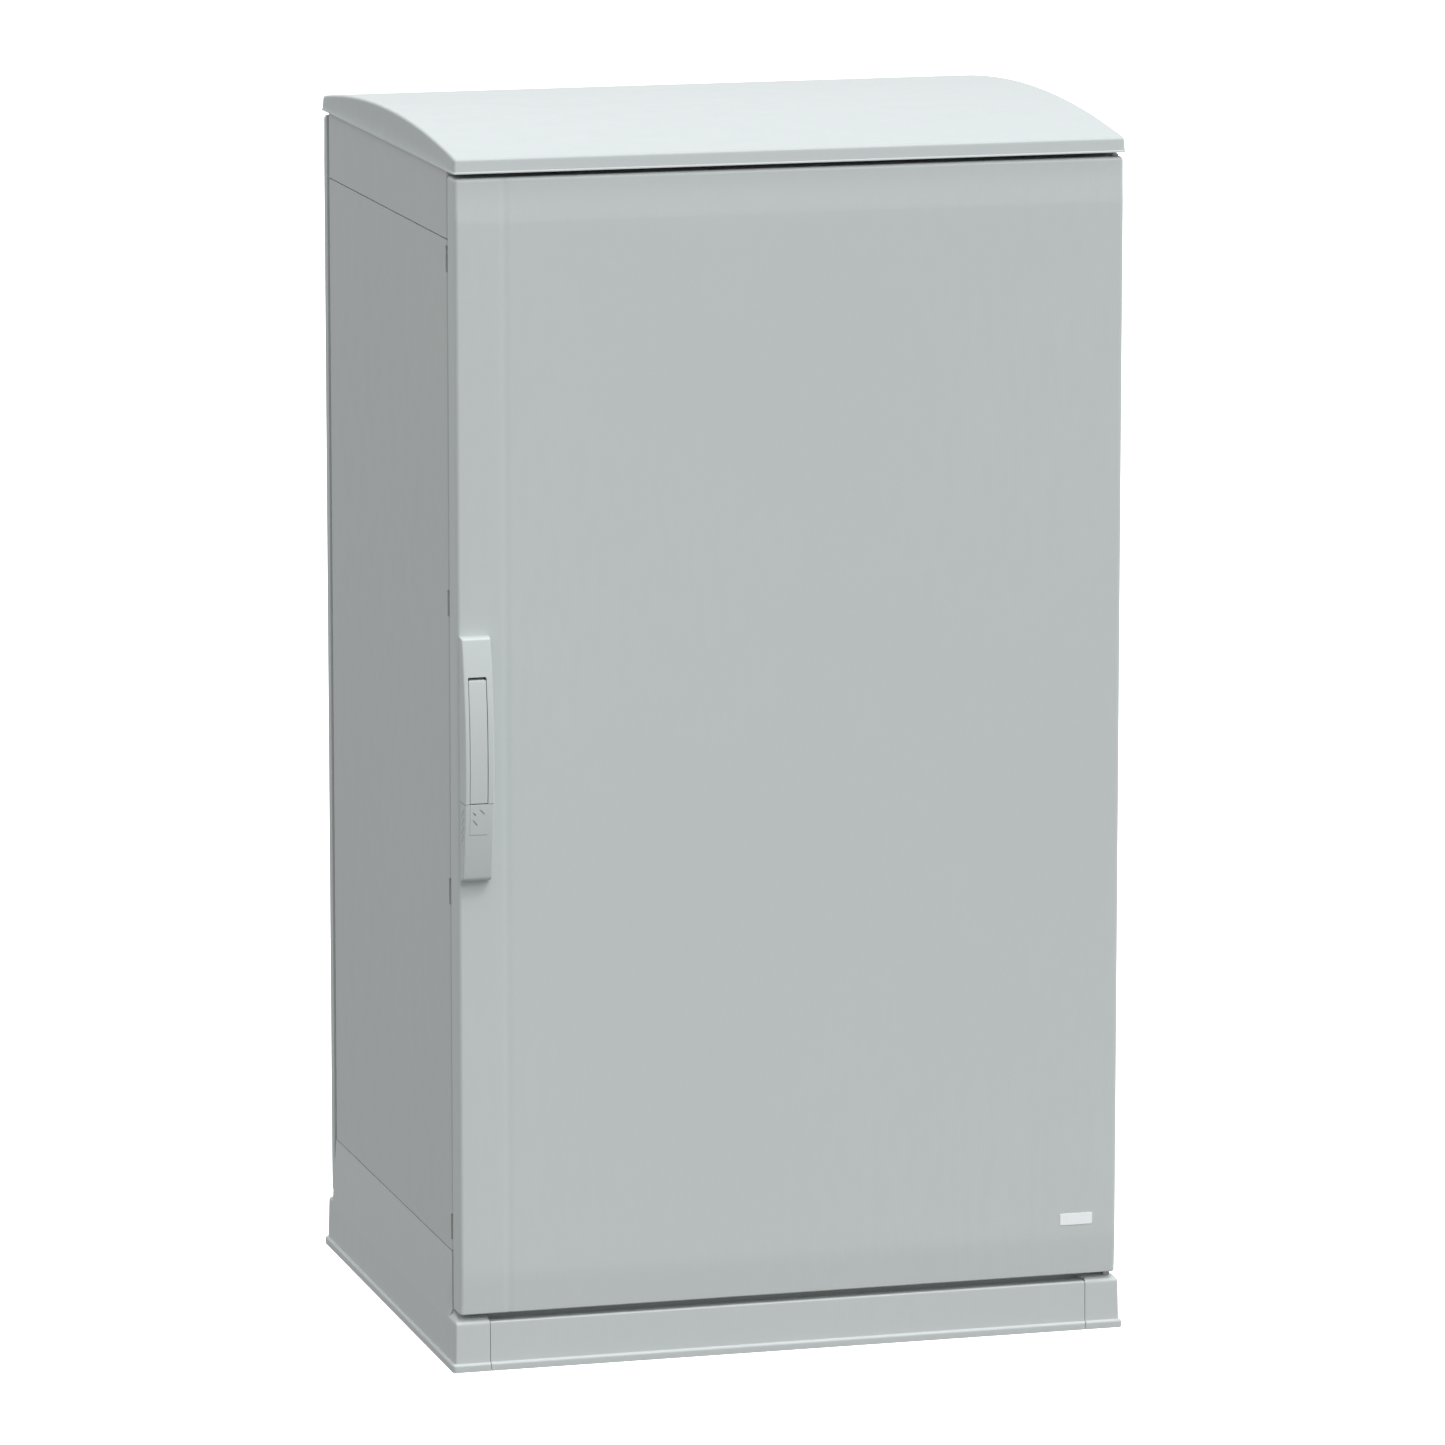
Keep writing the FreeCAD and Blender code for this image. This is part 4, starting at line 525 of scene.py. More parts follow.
def make_door():
    """Door tray with the crank's slot, and the two hinge bosses inside it."""
    slot = (HANDLE_X - CRANK_SLOT_HALF, HANDLE_X + CRANK_SLOT_HALF,
            PIN_LOW.z - CRANK_SLOT_REACH, PIN_HIGH.z + CRANK_SLOT_REACH)
    bm = panel_tray(DOOR_LOW, DOOR_HIGH, -1, True, slot)
    finish_mesh(bm, "door_skin", "door", "grp_door", ["door_panel"], wall=WALL, edge=CUT_EDGE)
    for name, z0, z1 in (("low", DOOR_LOW.z + BOSS_START, DOOR_LOW.z + BOSS_END),
                         ("high", DOOR_HIGH.z - BOSS_END, DOOR_HIGH.z - BOSS_START)):
        boss = grid_box(BOSS_X, BOSS_Y, [z0, z1])
        finish_mesh(boss, "door_hinge_boss_" + name, "door", "grp_door", edge=BOSS_EDGE)


def make_rear_panel():
    """Fixed panel at the back, pressed like the door but plain."""
    low = Vector((REAR_LOW.x, REAR_RIM_Y, REAR_LOW.z))
    bm = panel_tray(low, REAR_HIGH, 1, False, None)
    finish_mesh(bm, "rear_skin", "cabinet", "grp_door", ["rear_panel"], wall=WALL, edge=CUT_EDGE)


# ---------------------------------------------------------------- canopy
def make_canopy():
    """Arched shell; its crown line runs from side to side and its skirt leans in slightly."""
    half_x, half_y = CANOPY_HIGH.x, CANOPY_HIGH.y
    base = CANOPY_LOW.z
    eave = base + EAVE_RISE
    crown_rise = CANOPY_HIGH.z - eave
    radius = (half_y ** 2 + crown_rise ** 2) / (2 * crown_rise)

    def arch(y):
        return math.sqrt(radius ** 2 - y * y) - (radius - crown_rise)

    inner_y = spread(-half_y + 12 * MM, half_y - 12 * MM, 41)
    bm = grid_box([-half_x, -half_x + 8 * MM, -half_x / 2, 0.0, half_x / 2, half_x - 8 * MM, half_x],
                  [-half_y] + inner_y + [half_y],
                  [base, base + LIP_HEIGHT, base + LIP_HEIGHT + 0.9 * MM, base + 6 * MM, eave - 5 * MM, eave])
    delete_faces(bm, lambda c, n: abs(c.z - base) < TOUCH)
    round_edges(bm, EAVE_R, 5, lambda a, b: True)
    for vert in bm.verts:
        if vert.co.z > base + LIP_HEIGHT + 0.1 * MM:
            vert.co.x *= 1.0 - LIP_REACH / half_x
            vert.co.y *= 1.0 - LIP_REACH / half_y
    for vert in bm.verts:
        height = (vert.co.z - base) / (EAVE_RISE - EAVE_R)
        lift = min(1.0, max(0.0, height))
        vert.co.z += lift * arch(max(-half_y, min(half_y, vert.co.y)))
        fascia = min(1.0, (vert.co.z - base) / EAVE_RISE)
        vert.co.y *= 1.0 - fascia * FASCIA_LEAN / half_y
        vert.co.x *= 1.0 - fascia * END_LEAN / half_x
    finish_mesh(bm, "canopy_shell", "cabinet", "grp_canopy", ["canopy"], wall=WALL, edge=SHELL_EDGE)


# ---------------------------------------------------------------- plinth
def plinth_profile():
    """Outline of the plinth wall from the floor up: (distance outside the rim line, height)."""
    points = [(FLANGE_REACH - 0.3 * MM, 0.0), (FLANGE_REACH, 0.5 * MM), (FLANGE_REACH, FLANGE_FACE)]
    radius = FLANGE_REACH - PLINTH_LEAN * (1 - BLEND_TOP / PLINTH_RIM)
    for angle in spread(0.0, math.pi / 2, 8)[1:]:
        points.append((FLANGE_REACH - radius * (1 - math.cos(angle)), FLANGE_FACE + radius * math.sin(angle)))
    points.append((PLINTH_LEAN * (1 - WALL_START / PLINTH_RIM), WALL_START))
    for z in (30 * MM, 42 * MM, 50 * MM):
        points.append((PLINTH_LEAN * (1 - z / PLINTH_RIM), z))
    return points


def rim_rounding(radius, reach):
    """The wall's rounded top edge, continued inwards as a shelf."""
    top = PLINTH_RIM + COVER_RISE
    points = []
    for angle in spread(0.0, math.pi / 2, 6):
        points.append((-radius * (1 - math.cos(angle)), top - radius * (1 - math.sin(angle))))
    points.append((-reach, top))
    return points


def ring_point(station, offset, side_share=1.0):
    """A point at a station of the left moulding's plan line, moved outwards by offset."""
    kind, value = station
    across = offset * side_share
    radius = max(CORNER_LEAST_R, PLINTH_CORNER_R + offset * CORNER_GROWTH)
    centre_x = -(RIM_X + across - radius)
    centre_y = RIM_Y + offset - radius
    if kind == "front":
        return max(value, centre_x), -(RIM_Y + offset)
    if kind == "front_corner":
        return centre_x - radius * math.sin(value), -centre_y - radius * math.cos(value)
    if kind == "side":
        return -(RIM_X + across), max(-centre_y, min(centre_y, value))
    if kind == "rear_corner":
        return centre_x - radius * math.sin(value), centre_y + radius * math.cos(value)
    return max(value, centre_x), RIM_Y + offset


def side_waist(z):
    """How far the side wall lies inside the rim line above it."""
    t = (z - PLINTH_RIM) / (PLINTH_HIGH.z - PLINTH_RIM)
    return -(RIM_X - SIDE_PLANE_X) * t ** WAIST_POWER


def cap_height(x, joint):
    """Height of the corner cap, rounded down where it ends at the joint with the cover."""
    past = max(0.0, CAP_END_R - (joint - x))
    return PLINTH_CAP - CAP_END_R + math.sqrt(max(0.0, CAP_END_R ** 2 - past ** 2))


def make_plinth_side(side, name):
    """Side moulding with a return round each corner; side is -1 on the left and +1 on the right."""
    joint = PLINTH_HIGH.x
    end_steps = [joint - d * MM for d in (0.0, 0.4, 1.0, 2.0, CAP_END_R / MM)]
    quarter = spread(0.0, math.pi / 2, 7)
    body_front, body_rear = SIDE_LOW.y - SIDE_FRONT_REACH, SIDE_HIGH.y
    stations = [("front", x) for x in end_steps + [CORNER_START_X]]
    stations += [("front_corner", a) for a in quarter]
    stations += [("side", y) for y in (-300 * MM, body_front, body_front + 4 * MM, body_front + 8 * MM,
                                       body_front + PULL_LENGTH, 0.0, 150 * MM, body_rear, 312 * MM)]
    stations += [("rear_corner", a) for a in reversed(quarter)]
    stations += [("rear", x) for x in [CORNER_START_X] + end_steps[::-1]]

    profile = plinth_profile() + [(0.0, 53.5 * MM), (-RIM_STEP, PLINTH_RIM)]
    cap = [(-1.2 * MM, 56.7 * MM), (-4.5 * MM, 58.6 * MM), (-8.0 * MM, 60.2 * MM), (-9.4 * MM, PLINTH_CAP)]
    bm = bmesh.new()
    columns = []
    for station in stations:
        column = []
        for offset, z in profile + cap:
            x, y = ring_point(station, offset, 0.5 if z > PLINTH_RIM + TOUCH else 1.0)
            column.append(bm.verts.new((x, y, min(z, cap_height(x, joint)))))
        columns.append(column)
    wall_rows = len(profile)
    for left, right, first, second in zip(columns, columns[1:], stations, stations[1:]):
        on_body = first[0] == second[0] == "side" and first[1] >= body_front - TOUCH \
            and second[1] <= body_rear + TOUCH
        rows = wall_rows - 1 if on_body else len(profile + cap) - 1
        for row in range(rows):
            bm.faces.new([left[row], left[row + 1], right[row + 1], right[row]])
    add_waist(bm, columns, stations, wall_rows, body_front, body_rear)
    add_cap_tops(bm, columns, stations, body_front, body_rear)
    bmesh.ops.remove_doubles(bm, verts=bm.verts, dist=MERGE)
    bmesh.ops.delete(bm, geom=[v for v in bm.verts if not v.link_faces], context="VERTS")
    if side > 0:
        for vert in bm.verts:
            vert.co.x = -vert.co.x
        bmesh.ops.reverse_faces(bm, faces=bm.faces)
    bm.normal_update()
    face_outwards(bm, side)
    finish_mesh(bm, name, "cabinet", "grp_plinth",
                ["plinth_left" if side < 0 else "plinth_right"],
                wall=PLINTH_WALL, edge=PLINTH_EDGE, even=False)


def face_outwards(bm, side):
    """Turn the sheet so that its long side wall looks away from the cabinet."""
    for face in bm.faces:
        centre = face.calc_center_median()
        if abs(centre.y) < 200 * MM and 20 * MM < centre.z < 50 * MM:
            if face.normal.x * side < 0:
                bmesh.ops.reverse_faces(bm, faces=bm.faces)
            break
    bm.normal_update()


def add_waist(bm, columns, stations, wall_rows, body_front, body_rear):
    """Carry the side wall on up from the rim to the side panel."""
    heights = spread(PLINTH_RIM, PLINTH_HIGH.z, 9)
    on_body = [i for i, s in enumerate(stations) if s[0] == "side"
               and body_front - TOUCH <= s[1] <= body_rear + TOUCH]
    rows = {}
    for index in on_body:
        y = stations[index][1]
        column = [columns[index][wall_rows - 1]]
        near_front = max(0.0, 1.0 - (y - body_front) / PULL_LENGTH)
        for z in heights[1:]:
            x = -(RIM_X - RIM_STEP) - side_waist(z)
            pull = near_front ** 2 * smoothstep((z - PLINTH_RIM) / PULL_RISE)
            column.append(bm.verts.new((x + (FRONT_EDGE_X - x) * pull, y, z)))
        rows[index] = column
    for first, second in zip(on_body, on_body[1:]):
        for row in range(len(heights) - 1):
            bm.faces.new([rows[first][row], rows[first][row + 1], rows[second][row + 1], rows[second][row]])
    inner_x = -SIDE_PLANE_X + WALL
    for index in (on_body[0], on_body[-1]):
        edge = [bm.verts.new((inner_x, v.co.y, v.co.z)) for v in rows[index]]
        for row in range(len(heights) - 1):
            loop = [rows[index][row], edge[row], edge[row + 1], rows[index][row + 1]]
            bm.faces.new(loop if index == on_body[0] else loop[::-1])


def add_cap_tops(bm, columns, stations, body_front, body_rear):
    """Close the flat tops of the two corner returns."""
    near, least = 0.5 * MM, 0.05 * MM
    for front in (True, False):
        limit = body_front - CAP_TOP_FRONT if front else body_rear + CAP_TOP_REAR
        if front:
            ring = [c[-1] for c, s in zip(columns, stations)
                    if s[0] in ("front", "front_corner") or (s[0] == "side" and s[1] <= body_front + near)]
        else:
            ring = [c[-1] for c, s in zip(columns, stations)
                    if s[0] in ("rear", "rear_corner") or (s[0] == "side" and s[1] >= body_rear - near)]
        inner = [bm.verts.new((vert.co.x, limit, vert.co.z)) for vert in ring]
        for a, b, c, d in zip(ring, ring[1:], inner[1:], inner):
            if (a.co - b.co).length > least and abs(a.co.x - b.co.x) > least:
                bm.faces.new([a, b, c, d])


def make_plinth_cover(front):
    """Cover between the two side mouldings, with a rounded top edge and an inward shelf."""
    sign = -1 if front else 1
    reach = COVER_HIGH.x
    profile = plinth_profile() + rim_rounding(COVER_TOP_R, COVER_SHELF)
    xs = [-reach, -reach + 3 * MM, -200 * MM, 0.0, 200 * MM, reach - 3 * MM, reach]
    bm = bmesh.new()
    columns = []
    for x in xs:
        columns.append([bm.verts.new((x, sign * (RIM_Y + offset), z)) for offset, z in profile])
    for left, right in zip(columns, columns[1:]):
        for row in range(len(profile) - 1):
            bm.faces.new([left[row], right[row], right[row + 1], left[row + 1]])
    bm.normal_update()
    for face in bm.faces:
        if 20 * MM < face.calc_center_median().z < 50 * MM:
            if face.normal.y * sign < 0:
                bmesh.ops.reverse_faces(bm, faces=bm.faces)
            break
    name = "plinth_cover_front" if front else "plinth_cover_rear"
    node = "plinth_front_cover" if front else "plinth_rear_cover"
    finish_mesh(bm, name, "cabinet", "grp_plinth", [node], wall=PLINTH_WALL, edge=PLINTH_EDGE)


# ---------------------------------------------------------------- handle
def handle_depth(z):
    """How far the handle's bowed front stands out from the door at a height."""
    return HANDLE_DEPTH - HANDLE_ARC_R + math.sqrt(HANDLE_ARC_R ** 2 - (z - HANDLE_MID_Z) ** 2)


def bow(bm):
    """Bend the flat front of a handle block to the bow."""
    for vert in bm.verts:
        depth = DOOR_FACE - vert.co.y
        share = min(1.0, max(0.0, depth / (HANDLE_BLOCK - BOW_KEEP)))
        vert.co.y -= (handle_depth(vert.co.z) - HANDLE_BLOCK) * share


def make_handle_frame():
    """Frame round the lever: a bowed block with a deep recess, open at its lower end."""
    z0 = LOCK_HIGH.z + FRAME_GAP
    z1 = HANDLE_HIGH_Z
    recess_low_x, recess_high_x = LEVER_LOW.x - FRAME_GAP, LEVER_HIGH.x + FRAME_GAP
    recess_top = LEVER_HIGH.z + RECESS_RISE
    front_y, floor_y = DOOR_FACE - HANDLE_BLOCK, DOOR_FACE - RECESS_FLOOR
    zs = [z0] + spread(z0 + 6 * MM, recess_top - 6 * MM, 15) + [recess_top]
    zs += spread(recess_top + 6 * MM, z1 - 8 * MM, 6) + [z1]
    bm = grid_box([HOUSING_LOW.x, recess_low_x, recess_high_x, HOUSING_HIGH.x],
                  [front_y, DOOR_FACE - HANDLE_BLOCK / 2, floor_y, DOOR_FACE], zs,
                  lambda x, y, z: y > floor_y or z > recess_top or not recess_low_x < x < recess_high_x)
    round_edges(bm, FRAME_TOP_R, 6, lambda a, b: a.z > z1 - TOUCH and b.z > z1 - TOUCH
                and a.y < front_y + TOUCH and b.y < front_y + TOUCH)
    round_edges(bm, RECESS_CORNER_R, 4, lambda a, b: abs(a.x - b.x) < TOUCH and abs(a.z - b.z) < TOUCH
                and abs(a.z - recess_top) < TOUCH and max(a.y, b.y) < floor_y + TOUCH)
    round_edges(bm, SIDE_EDGE_R, 4, on_handle_side)
    bow(bm)
    finish_mesh(bm, "handle_frame", "door", "handle_plastic",
                ["handle_housing"], edge=0.5 * MM)


def on_handle_side(a, b):
    """True for the long front edges of the handle's two sides."""
    return abs(a.x - b.x) < TOUCH and abs(abs(a.x - HANDLE_X) - HANDLE_HALF) < TOUCH \
        and max(a.y, b.y) < DOOR_FACE - 12 * MM and abs(a.z - b.z) > TOUCH


def tongue_space(gap):
    """Box that holds the lock's tongue both turned sideways and turned up."""
    half = (TONGUE_HIGH.z - TONGUE_LOW.z) / 2 + TONGUE_SIDE_GAP
    centre_z = (TONGUE_HIGH.z + TONGUE_LOW.z) / 2
    reach = TONGUE_HIGH.x - HANDLE_X + TONGUE_END_GAP
    return grid_box([HANDLE_X - half, HANDLE_X + reach], [TONGUE_LOW.y - gap, TONGUE_HIGH.y + gap],
                    [centre_z - half, centre_z + reach])


def make_lock_seat():
    """Block under the cap that carries the lock barrel, with a lower step below it."""
    half, front = SEAT_HALF, DOOR_FACE - SEAT_DEPTH
    low, high = SEAT_LOW_Z, LOCK_HIGH.z - 0.5 * MM
    centre = (BARREL_LOW.z + BARREL_HIGH.z) / 2
    bore = (BARREL_HIGH.z - BARREL_LOW.z) / 2 + 0.05 * MM
    bm = bmesh.new()
    rings = {"inner": [], "outer": []}
    for index in range(SEAT_BORE_SIDES):
        angle = 2 * math.pi * index / SEAT_BORE_SIDES
        dx, dz = math.cos(angle), math.sin(angle)
        to_side = half / abs(dx) if abs(dx) > 1e-9 else 1.0
        to_end = ((high - centre) if dz > 0 else (centre - low)) / abs(dz) if abs(dz) > 1e-9 else 1.0
        reach = min(to_side, to_end)
        for ring, r in (("inner", bore), ("outer", reach)):
            rings[ring].append([bm.verts.new((HANDLE_X + dx * r, y, centre + dz * r))
                                for y in (front, DOOR_FACE)])
    for index in range(SEAT_BORE_SIDES):
        after = (index + 1) % SEAT_BORE_SIDES
        inner, outer = rings["inner"], rings["outer"]
        for end in (0, 1):
            bm.faces.new([inner[index][end], inner[after][end], outer[after][end], outer[index][end]])
        for ring in (inner, outer):
            bm.faces.new([ring[index][0], ring[after][0], ring[after][1], ring[index][1]])
    bmesh.ops.recalc_face_normals(bm, faces=bm.faces)
    seat = finish_mesh(bm, "lock_seat", "door", "handle_plastic",
                       edge=0.4 * MM)
    carve(seat, tongue_space(0.5 * MM))
    step = grid_box([HANDLE_X - half, HANDLE_X, HANDLE_X + half], [DOOR_FACE - STEP_DEPTH, DOOR_FACE],
                    STEP_ZS + [low])
    finish_mesh(step, "lock_seat_step", "door", "handle_plastic", edge=0.6 * MM)


def make_lever():
    """Lever flush with the frame round it."""
    back = DOOR_FACE - LEVER_BACK
    zs = [LEVER_LOW.z] + spread(LEVER_LOW.z + 5 * MM, LEVER_HIGH.z - 6 * MM, 14) + [LEVER_HIGH.z]
    bm = grid_box([LEVER_LOW.x, HANDLE_X - 1 * MM, LEVER_HIGH.x],
                  [DOOR_FACE - HANDLE_BLOCK, DOOR_FACE - 14 * MM, back], zs)
    round_edges(bm, SIDE_EDGE_R, 4, lambda a, b: abs(a.y - b.y) > TOUCH and a.z > LEVER_HIGH.z - TOUCH
                and b.z > LEVER_HIGH.z - TOUCH)
    for vert in bm.verts:
        depth = DOOR_FACE - vert.co.y
        share = min(1.0, max(0.0, (depth - LEVER_BACK) / (HANDLE_BLOCK - LEVER_BACK - LEVER_KEEP)))
        vert.co.y -= (handle_depth(vert.co.z) - LEVER_INSET - HANDLE_BLOCK) * share
        over = vert.co.z - (PIN_LOW.z + PIN_HIGH.z) / 2
        if over > 0:
            rear = vert.co.y - (PIN_LOW.y + PIN_HIGH.y) / 2
            span = math.hypot(over, rear)
            if span > LEVER_HEEL_R:
                vert.co.z -= (span - LEVER_HEEL_R) * over / span
    lever = finish_mesh(bm, "lever_grip", "lever", "handle_plastic",
                        ["handle_lever"], edge=0.55 * MM)
    carve(lever, tongue_space(0.7 * MM))


def make_lock_cover():
    """Sliding cap over the lock: a bowed shell with the marks cut in and the raised square on it."""
    z0, z1 = HANDLE_LOW_Z, LOCK_HIGH.z
    zs = [z0] + spread(z0 + 10 * MM, z1 - 4 * MM, 10) + [z1]
    back = DOOR_FACE - CAP_BACK
    bm = grid_box([LOCK_LOW.x, LOCK_LOW.x + 6 * MM, HANDLE_X + 10 * MM, LOCK_HIGH.x],
                  [DOOR_FACE - HANDLE_BLOCK, DOOR_FACE - 12 * MM, back], zs)
    delete_faces(bm, lambda c, n: abs(c.z - z1) < TOUCH or abs(c.y - back) < TOUCH)
    front_y = DOOR_FACE - HANDLE_BLOCK
    round_edges(bm, CAP_TOE_R, 6, lambda a, b: a.z < z0 + TOUCH and b.z < z0 + TOUCH
                and a.y < front_y + TOUCH and b.y < front_y + TOUCH)
    round_edges(bm, SIDE_EDGE_R, 4, on_handle_side)
    bow(bm)
    cap = finish_mesh(bm, "lock_cap", "cover", "handle_plastic",
                      ["lock_cover"], wall=CAP_WALL)
    carve(cap, cap_marks())
    make_cap_square(z1)


def slanted_cutter(bm, first, last, half_width, low, high, sideways):
    """Add a slanted box to a bmesh: sideways boxes run in depth and height, the others across the front."""
    (a0, z0), (a1, z1) = first, last
    length = math.hypot(a1 - a0, z1 - z0)
    across = (half_width * (z1 - z0) / length, -half_width * (a1 - a0) / length)
    outline = [(a0 - across[0], z0 - across[1]), (a0 + across[0], z0 + across[1]),
               (a1 + across[0], z1 + across[1]), (a1 - across[0], z1 - across[1])]
    rings = [[bm.verts.new((d, a, z) if sideways else (a, d, z)) for a, z in outline] for d in (low, high)]
    bm.faces.new(rings[0])
    bm.faces.new(rings[1][::-1])
    for k in range(4):
        n = (k + 1) % 4
        bm.faces.new([rings[0][k], rings[0][n], rings[1][n], rings[1][k]])


def cap_marks():
    """Cutters for three short strokes on the cap's front and four slanting grips on its left side."""
    bm = bmesh.new()
    for (x0, z0), (x1, z1) in CAP_STROKES:
        skin = DOOR_FACE - handle_depth((z0 + z1) / 2 * MM)
        slanted_cutter(bm, (HANDLE_X + x0 * MM, z0 * MM), (HANDLE_X + x1 * MM, z1 * MM), MARK_HALF,
                       skin - 6 * MM, skin + MARK_DEPTH, False)
    for z in CAP_GRIPS:
        slanted_cutter(bm, (DOOR_FACE - GRIP_NEAR, (z - GRIP_FALL) * MM),
                       (DOOR_FACE - GRIP_FAR, (z + GRIP_RISE) * MM),
                       MARK_HALF * 1.3, LOCK_LOW.x - 3 * MM, LOCK_LOW.x + MARK_DEPTH, True)
    bmesh.ops.recalc_face_normals(bm, faces=bm.faces)
    return bm


def carve(piece, cutters):
    """Cut the cutters out of a piece for good and leave nothing else behind."""
    mesh = bpy.data.meshes.new("cutter")
    cutters.to_mesh(mesh)
    cutters.free()
    cutter = bpy.data.objects.new("cutter", mesh)
    bpy.context.scene.collection.objects.link(cutter)
    cut = piece.modifiers.new("cut", "BOOLEAN")
    cut.operation = "DIFFERENCE"
    cut.solver = "EXACT"
    cut.object = cutter
    before_normals = len(piece.modifiers) - 2
    piece.modifiers.move(piece.modifiers.find("cut"), before_normals)
    piece.modifiers["normals"].show_viewport = False
    result = bpy.data.meshes.new_from_object(piece.evaluated_get(bpy.context.evaluated_depsgraph_get()))
    piece.modifiers.clear()
    piece.data = result
    bpy.data.objects.remove(cutter)
    bpy.data.meshes.remove(mesh)
    shade(piece)


def bowed_strip(name, corners, proud, body):
    """Thin raised strip lying on the bowed front, given by its (x, z) corners."""
    bm = bmesh.new()
    steps = 6
    front, back = [], []
    for index in range(steps + 1):
        t = index / steps
        for pair, rows in ((0, front), (1, back)):
            row = []
            for side in (0, 1):
                first, last = corners[side], corners[3 - side]
                x = first[0] + (last[0] - first[0]) * t
                z = first[1] + (last[1] - first[1]) * t
                y = DOOR_FACE - handle_depth(z) - (proud if pair == 0 else -0.5 * MM)
                row.append(bm.verts.new((x, y, z)))
            rows.append(row)
    for f0, f1, b0, b1 in zip(front, front[1:], back, back[1:]):
        bm.faces.new([f0[0], f0[1], f1[1], f1[0]])
        bm.faces.new([b0[1], b0[0], b1[0], b1[1]])
        bm.faces.new([f0[0], f1[0], b1[0], b0[0]])
        bm.faces.new([f1[1], f0[1], b0[1], b1[1]])
    bm.faces.new([front[0][1], front[0][0], back[0][0], back[0][1]])
    bm.faces.new([front[-1][0], front[-1][1], back[-1][1], back[-1][0]])
    bmesh.ops.recalc_face_normals(bm, faces=bm.faces)
    return finish_mesh(bm, name, body, "handle_plastic", edge=0.18 * MM)


def make_cap_square(top):
    """Raised square on the cap, with the strokes cut through it."""
    left, right = HANDLE_X - SQUARE_LEFT, HANDLE_X + SQUARE_RIGHT
    corners = [(left, SQUARE_LOW_Z), (right, SQUARE_LOW_Z), (right, top), (left, top)]
    square = bowed_strip("cap_square", corners, SQUARE_PROUD, "cover")
    carve(square, cap_marks())


def make_label():
    """Small blank plate with a rounded edge."""
    bm = grid_box([LABEL_LOW.x, LABEL_HIGH.x], [LABEL_LOW.y, DOOR_FACE + 0.2 * MM],
                  [LABEL_LOW.z, LABEL_HIGH.z])
    round_edges(bm, 0.9 * MM, 4, lambda a, b: abs(a.y - b.y) > TOUCH)
    finish_mesh(bm, "blank_label", "door", "label_white", ["label_plate"], edge=0.15 * MM)


# ---------------------------------------------------------------- stage, light and camera
FLOOR_HALF = 40.0
FLOOR_GLOW = 0.75
SKY_LOW = (0.33, 0.335, 0.34, 1)
SKY_HIGH = (0.84, 0.85, 0.86, 1)
SKY_STRENGTH = 0.935
SKY_STOPS = (0.35, 0.75)        # heights of the dome, from 0 below to 1 above, with these two colours
# name, direction from the object to the light, strength, width in degrees
SUNS = (("key", (0.35, -0.46, 0.82), 1.82, 55.0),
        ("key_core", (0.36, -0.40, 0.84), 0.56, 7.0),
        ("back_fill", (-0.25, 0.85, 0.45), 0.45, 60.0))
CAMERA_AZIMUTH = math.radians(-15.51)
CAMERA_ELEVATION = math.radians(10.50)
CAMERA_DISTANCE = 10.4957
CAMERA_TARGET = Vector((-0.00561, -0.0485, 0.68366))
CAMERA_LENS = 224.96


def make_floor():
    """Pale floor that glows a little, so that it stays even round the object."""
    mesh = bpy.data.meshes.new("studio_floor")
    bm = bmesh.new()
    bmesh.ops.create_grid(bm, x_segments=4, y_segments=4, size=FLOOR_HALF)
    bm.to_mesh(mesh)
    bm.free()
    floor = bpy.data.objects.new("studio_floor", mesh)
    bpy.context.scene.collection.objects.link(floor)
    material, tree, shader = new_material("floor_pale")
    space = texture_space(tree)
    tint = mix_colour(tree, remap(tree, noise(tree, space, 0.8, 2.0), 0.0, 1.0),
                      (0.90, 0.90, 0.90), (0.93, 0.93, 0.93))
    tree.links.new(tint, shader.inputs["Base Color"])
    shader.inputs["Roughness"].default_value = 0.9
    shader.inputs["Specular IOR Level"].default_value = 0.1
    shader.inputs["Emission Color"].default_value = (1.0, 1.0, 1.0, 1.0)
    shader.inputs["Emission Strength"].default_value = FLOOR_GLOW
    mesh.materials.append(material)
    floor.visible_diffuse = False
    floor.visible_glossy = False


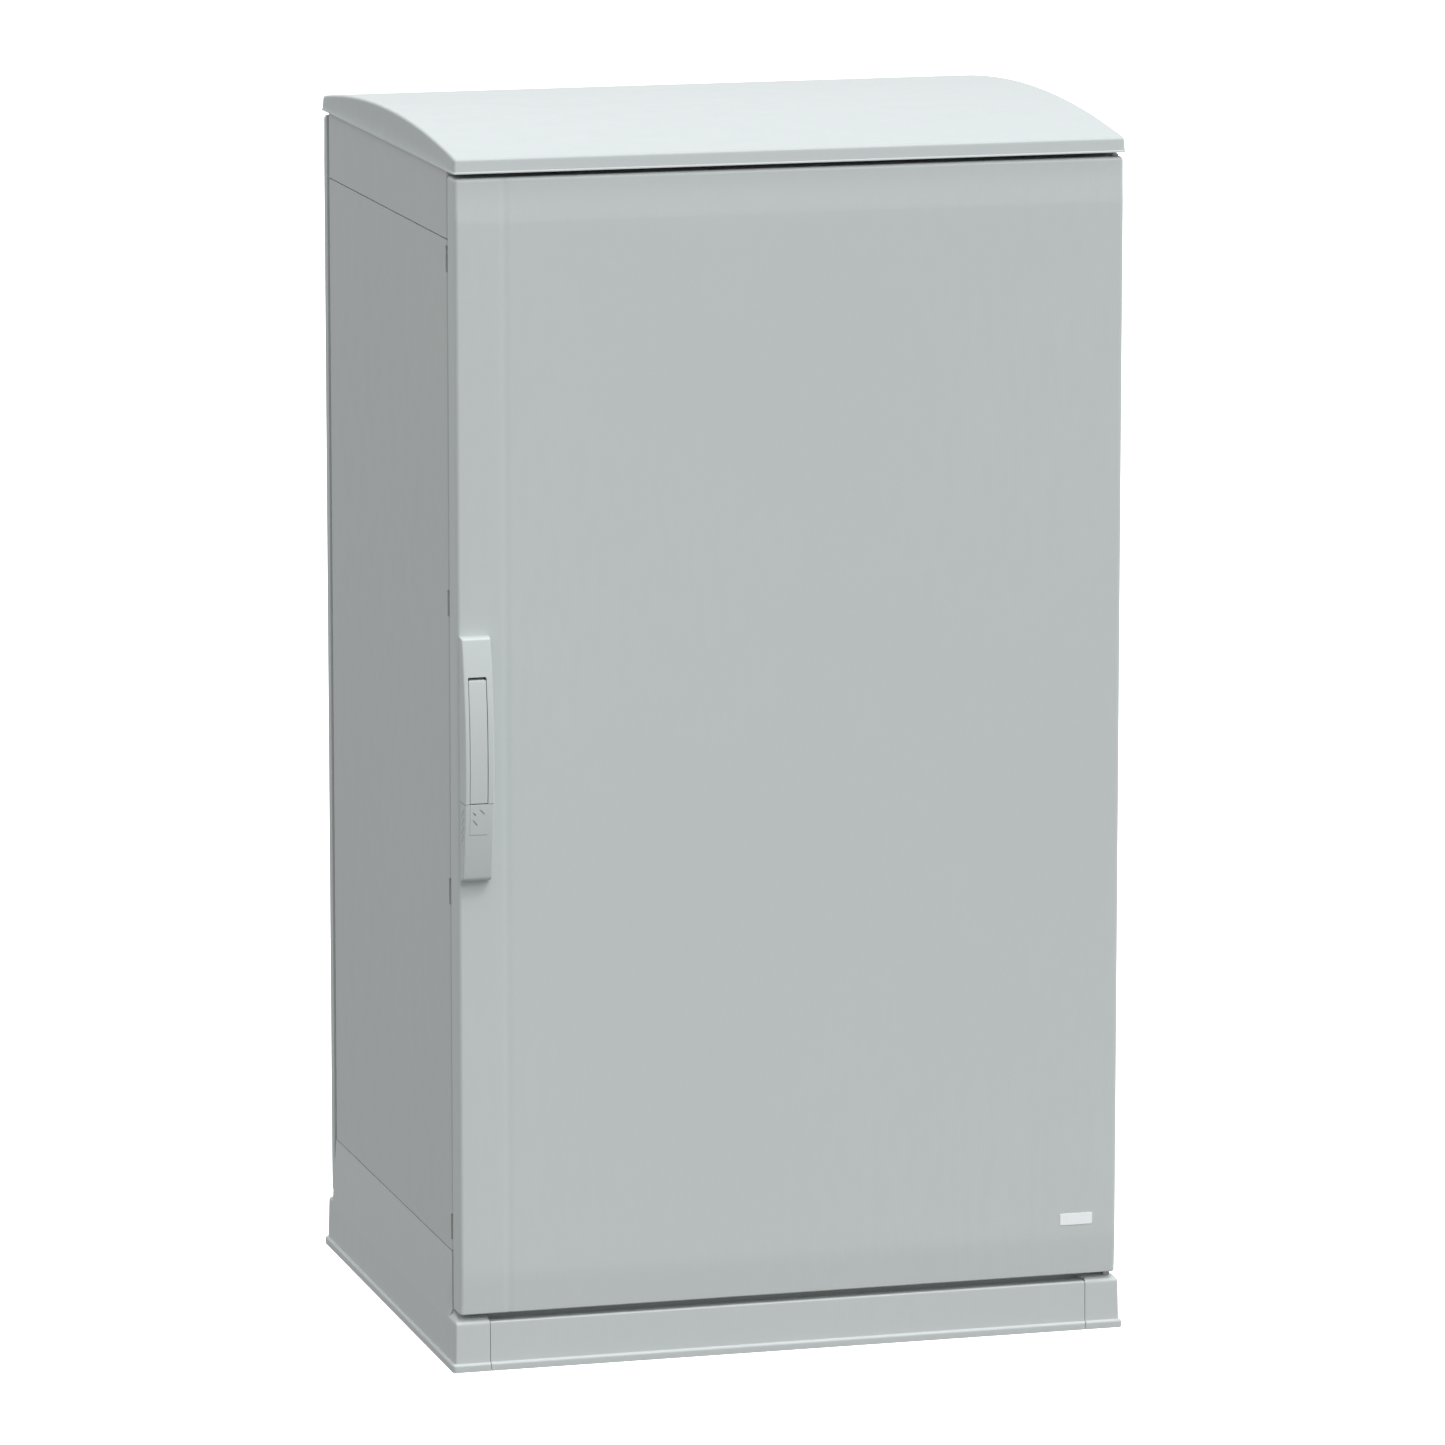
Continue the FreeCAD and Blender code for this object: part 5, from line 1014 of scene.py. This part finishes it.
def make_world():
    """Soft dome that is brighter above than below."""
    world = bpy.data.worlds.new("studio")
    bpy.context.scene.world = world
    world.use_nodes = True
    tree = world.node_tree
    tree.nodes.clear()
    output = tree.nodes.new("ShaderNodeOutputWorld")
    background = tree.nodes.new("ShaderNodeBackground")
    coordinates = tree.nodes.new("ShaderNodeTexCoord")
    split = tree.nodes.new("ShaderNodeSeparateXYZ")
    ramp = tree.nodes.new("ShaderNodeValToRGB")
    tree.links.new(coordinates.outputs["Generated"], split.inputs["Vector"])
    height = tree.nodes.new("ShaderNodeMapRange")
    height.inputs["From Min"].default_value = -1.0
    height.inputs["From Max"].default_value = 1.0
    tree.links.new(split.outputs["Z"], height.inputs["Value"])
    tree.links.new(height.outputs["Result"], ramp.inputs["Fac"])
    ramp.color_ramp.interpolation = "EASE"
    ramp.color_ramp.elements[0].position = SKY_STOPS[0]
    ramp.color_ramp.elements[0].color = SKY_LOW
    ramp.color_ramp.elements[1].position = SKY_STOPS[1]
    ramp.color_ramp.elements[1].color = SKY_HIGH
    tree.links.new(ramp.outputs["Color"], background.inputs["Color"])
    background.inputs["Strength"].default_value = SKY_STRENGTH
    tree.links.new(background.outputs["Background"], output.inputs["Surface"])


def make_sun(name, towards, strength, angle_deg):
    """Soft directional light; towards points from the object to the light."""
    light = bpy.data.lights.new(name, "SUN")
    light.energy = strength
    light.angle = math.radians(angle_deg)
    sun = bpy.data.objects.new(name, light)
    sun.rotation_mode = "QUATERNION"
    sun.rotation_quaternion = Vector(towards).to_track_quat("Z", "Y")
    bpy.context.scene.collection.objects.link(sun)


def make_camera():
    """Long lens from the left of the door, slightly above."""
    level = math.cos(CAMERA_ELEVATION)
    back = Vector((math.sin(CAMERA_AZIMUTH) * level, -math.cos(CAMERA_AZIMUTH) * level,
                   math.sin(CAMERA_ELEVATION)))
    data = bpy.data.cameras.new("camera")
    data.sensor_width = 36.0
    data.lens = CAMERA_LENS
    data.clip_end = 200.0
    camera = bpy.data.objects.new("camera", data)
    camera.rotation_mode = "QUATERNION"
    camera.location = CAMERA_TARGET + back * CAMERA_DISTANCE
    camera.rotation_quaternion = (-back).to_track_quat("-Z", "Y")
    bpy.context.scene.collection.objects.link(camera)
    bpy.context.scene.camera = camera


# ---------------------------------------------------------------- build
finish_cad_nodes()
make_door()
make_rear_panel()
make_canopy()
make_plinth_side(-1, "plinth_moulding_left")
make_plinth_side(1, "plinth_moulding_right")
make_plinth_cover(True)
make_plinth_cover(False)
make_handle_frame()
make_lock_seat()
make_lever()
make_lock_cover()
make_label()

make_floor()
make_world()
for sun in SUNS:
    make_sun(*sun)
make_camera()
bpy.context.scene.view_settings.view_transform = "Standard"
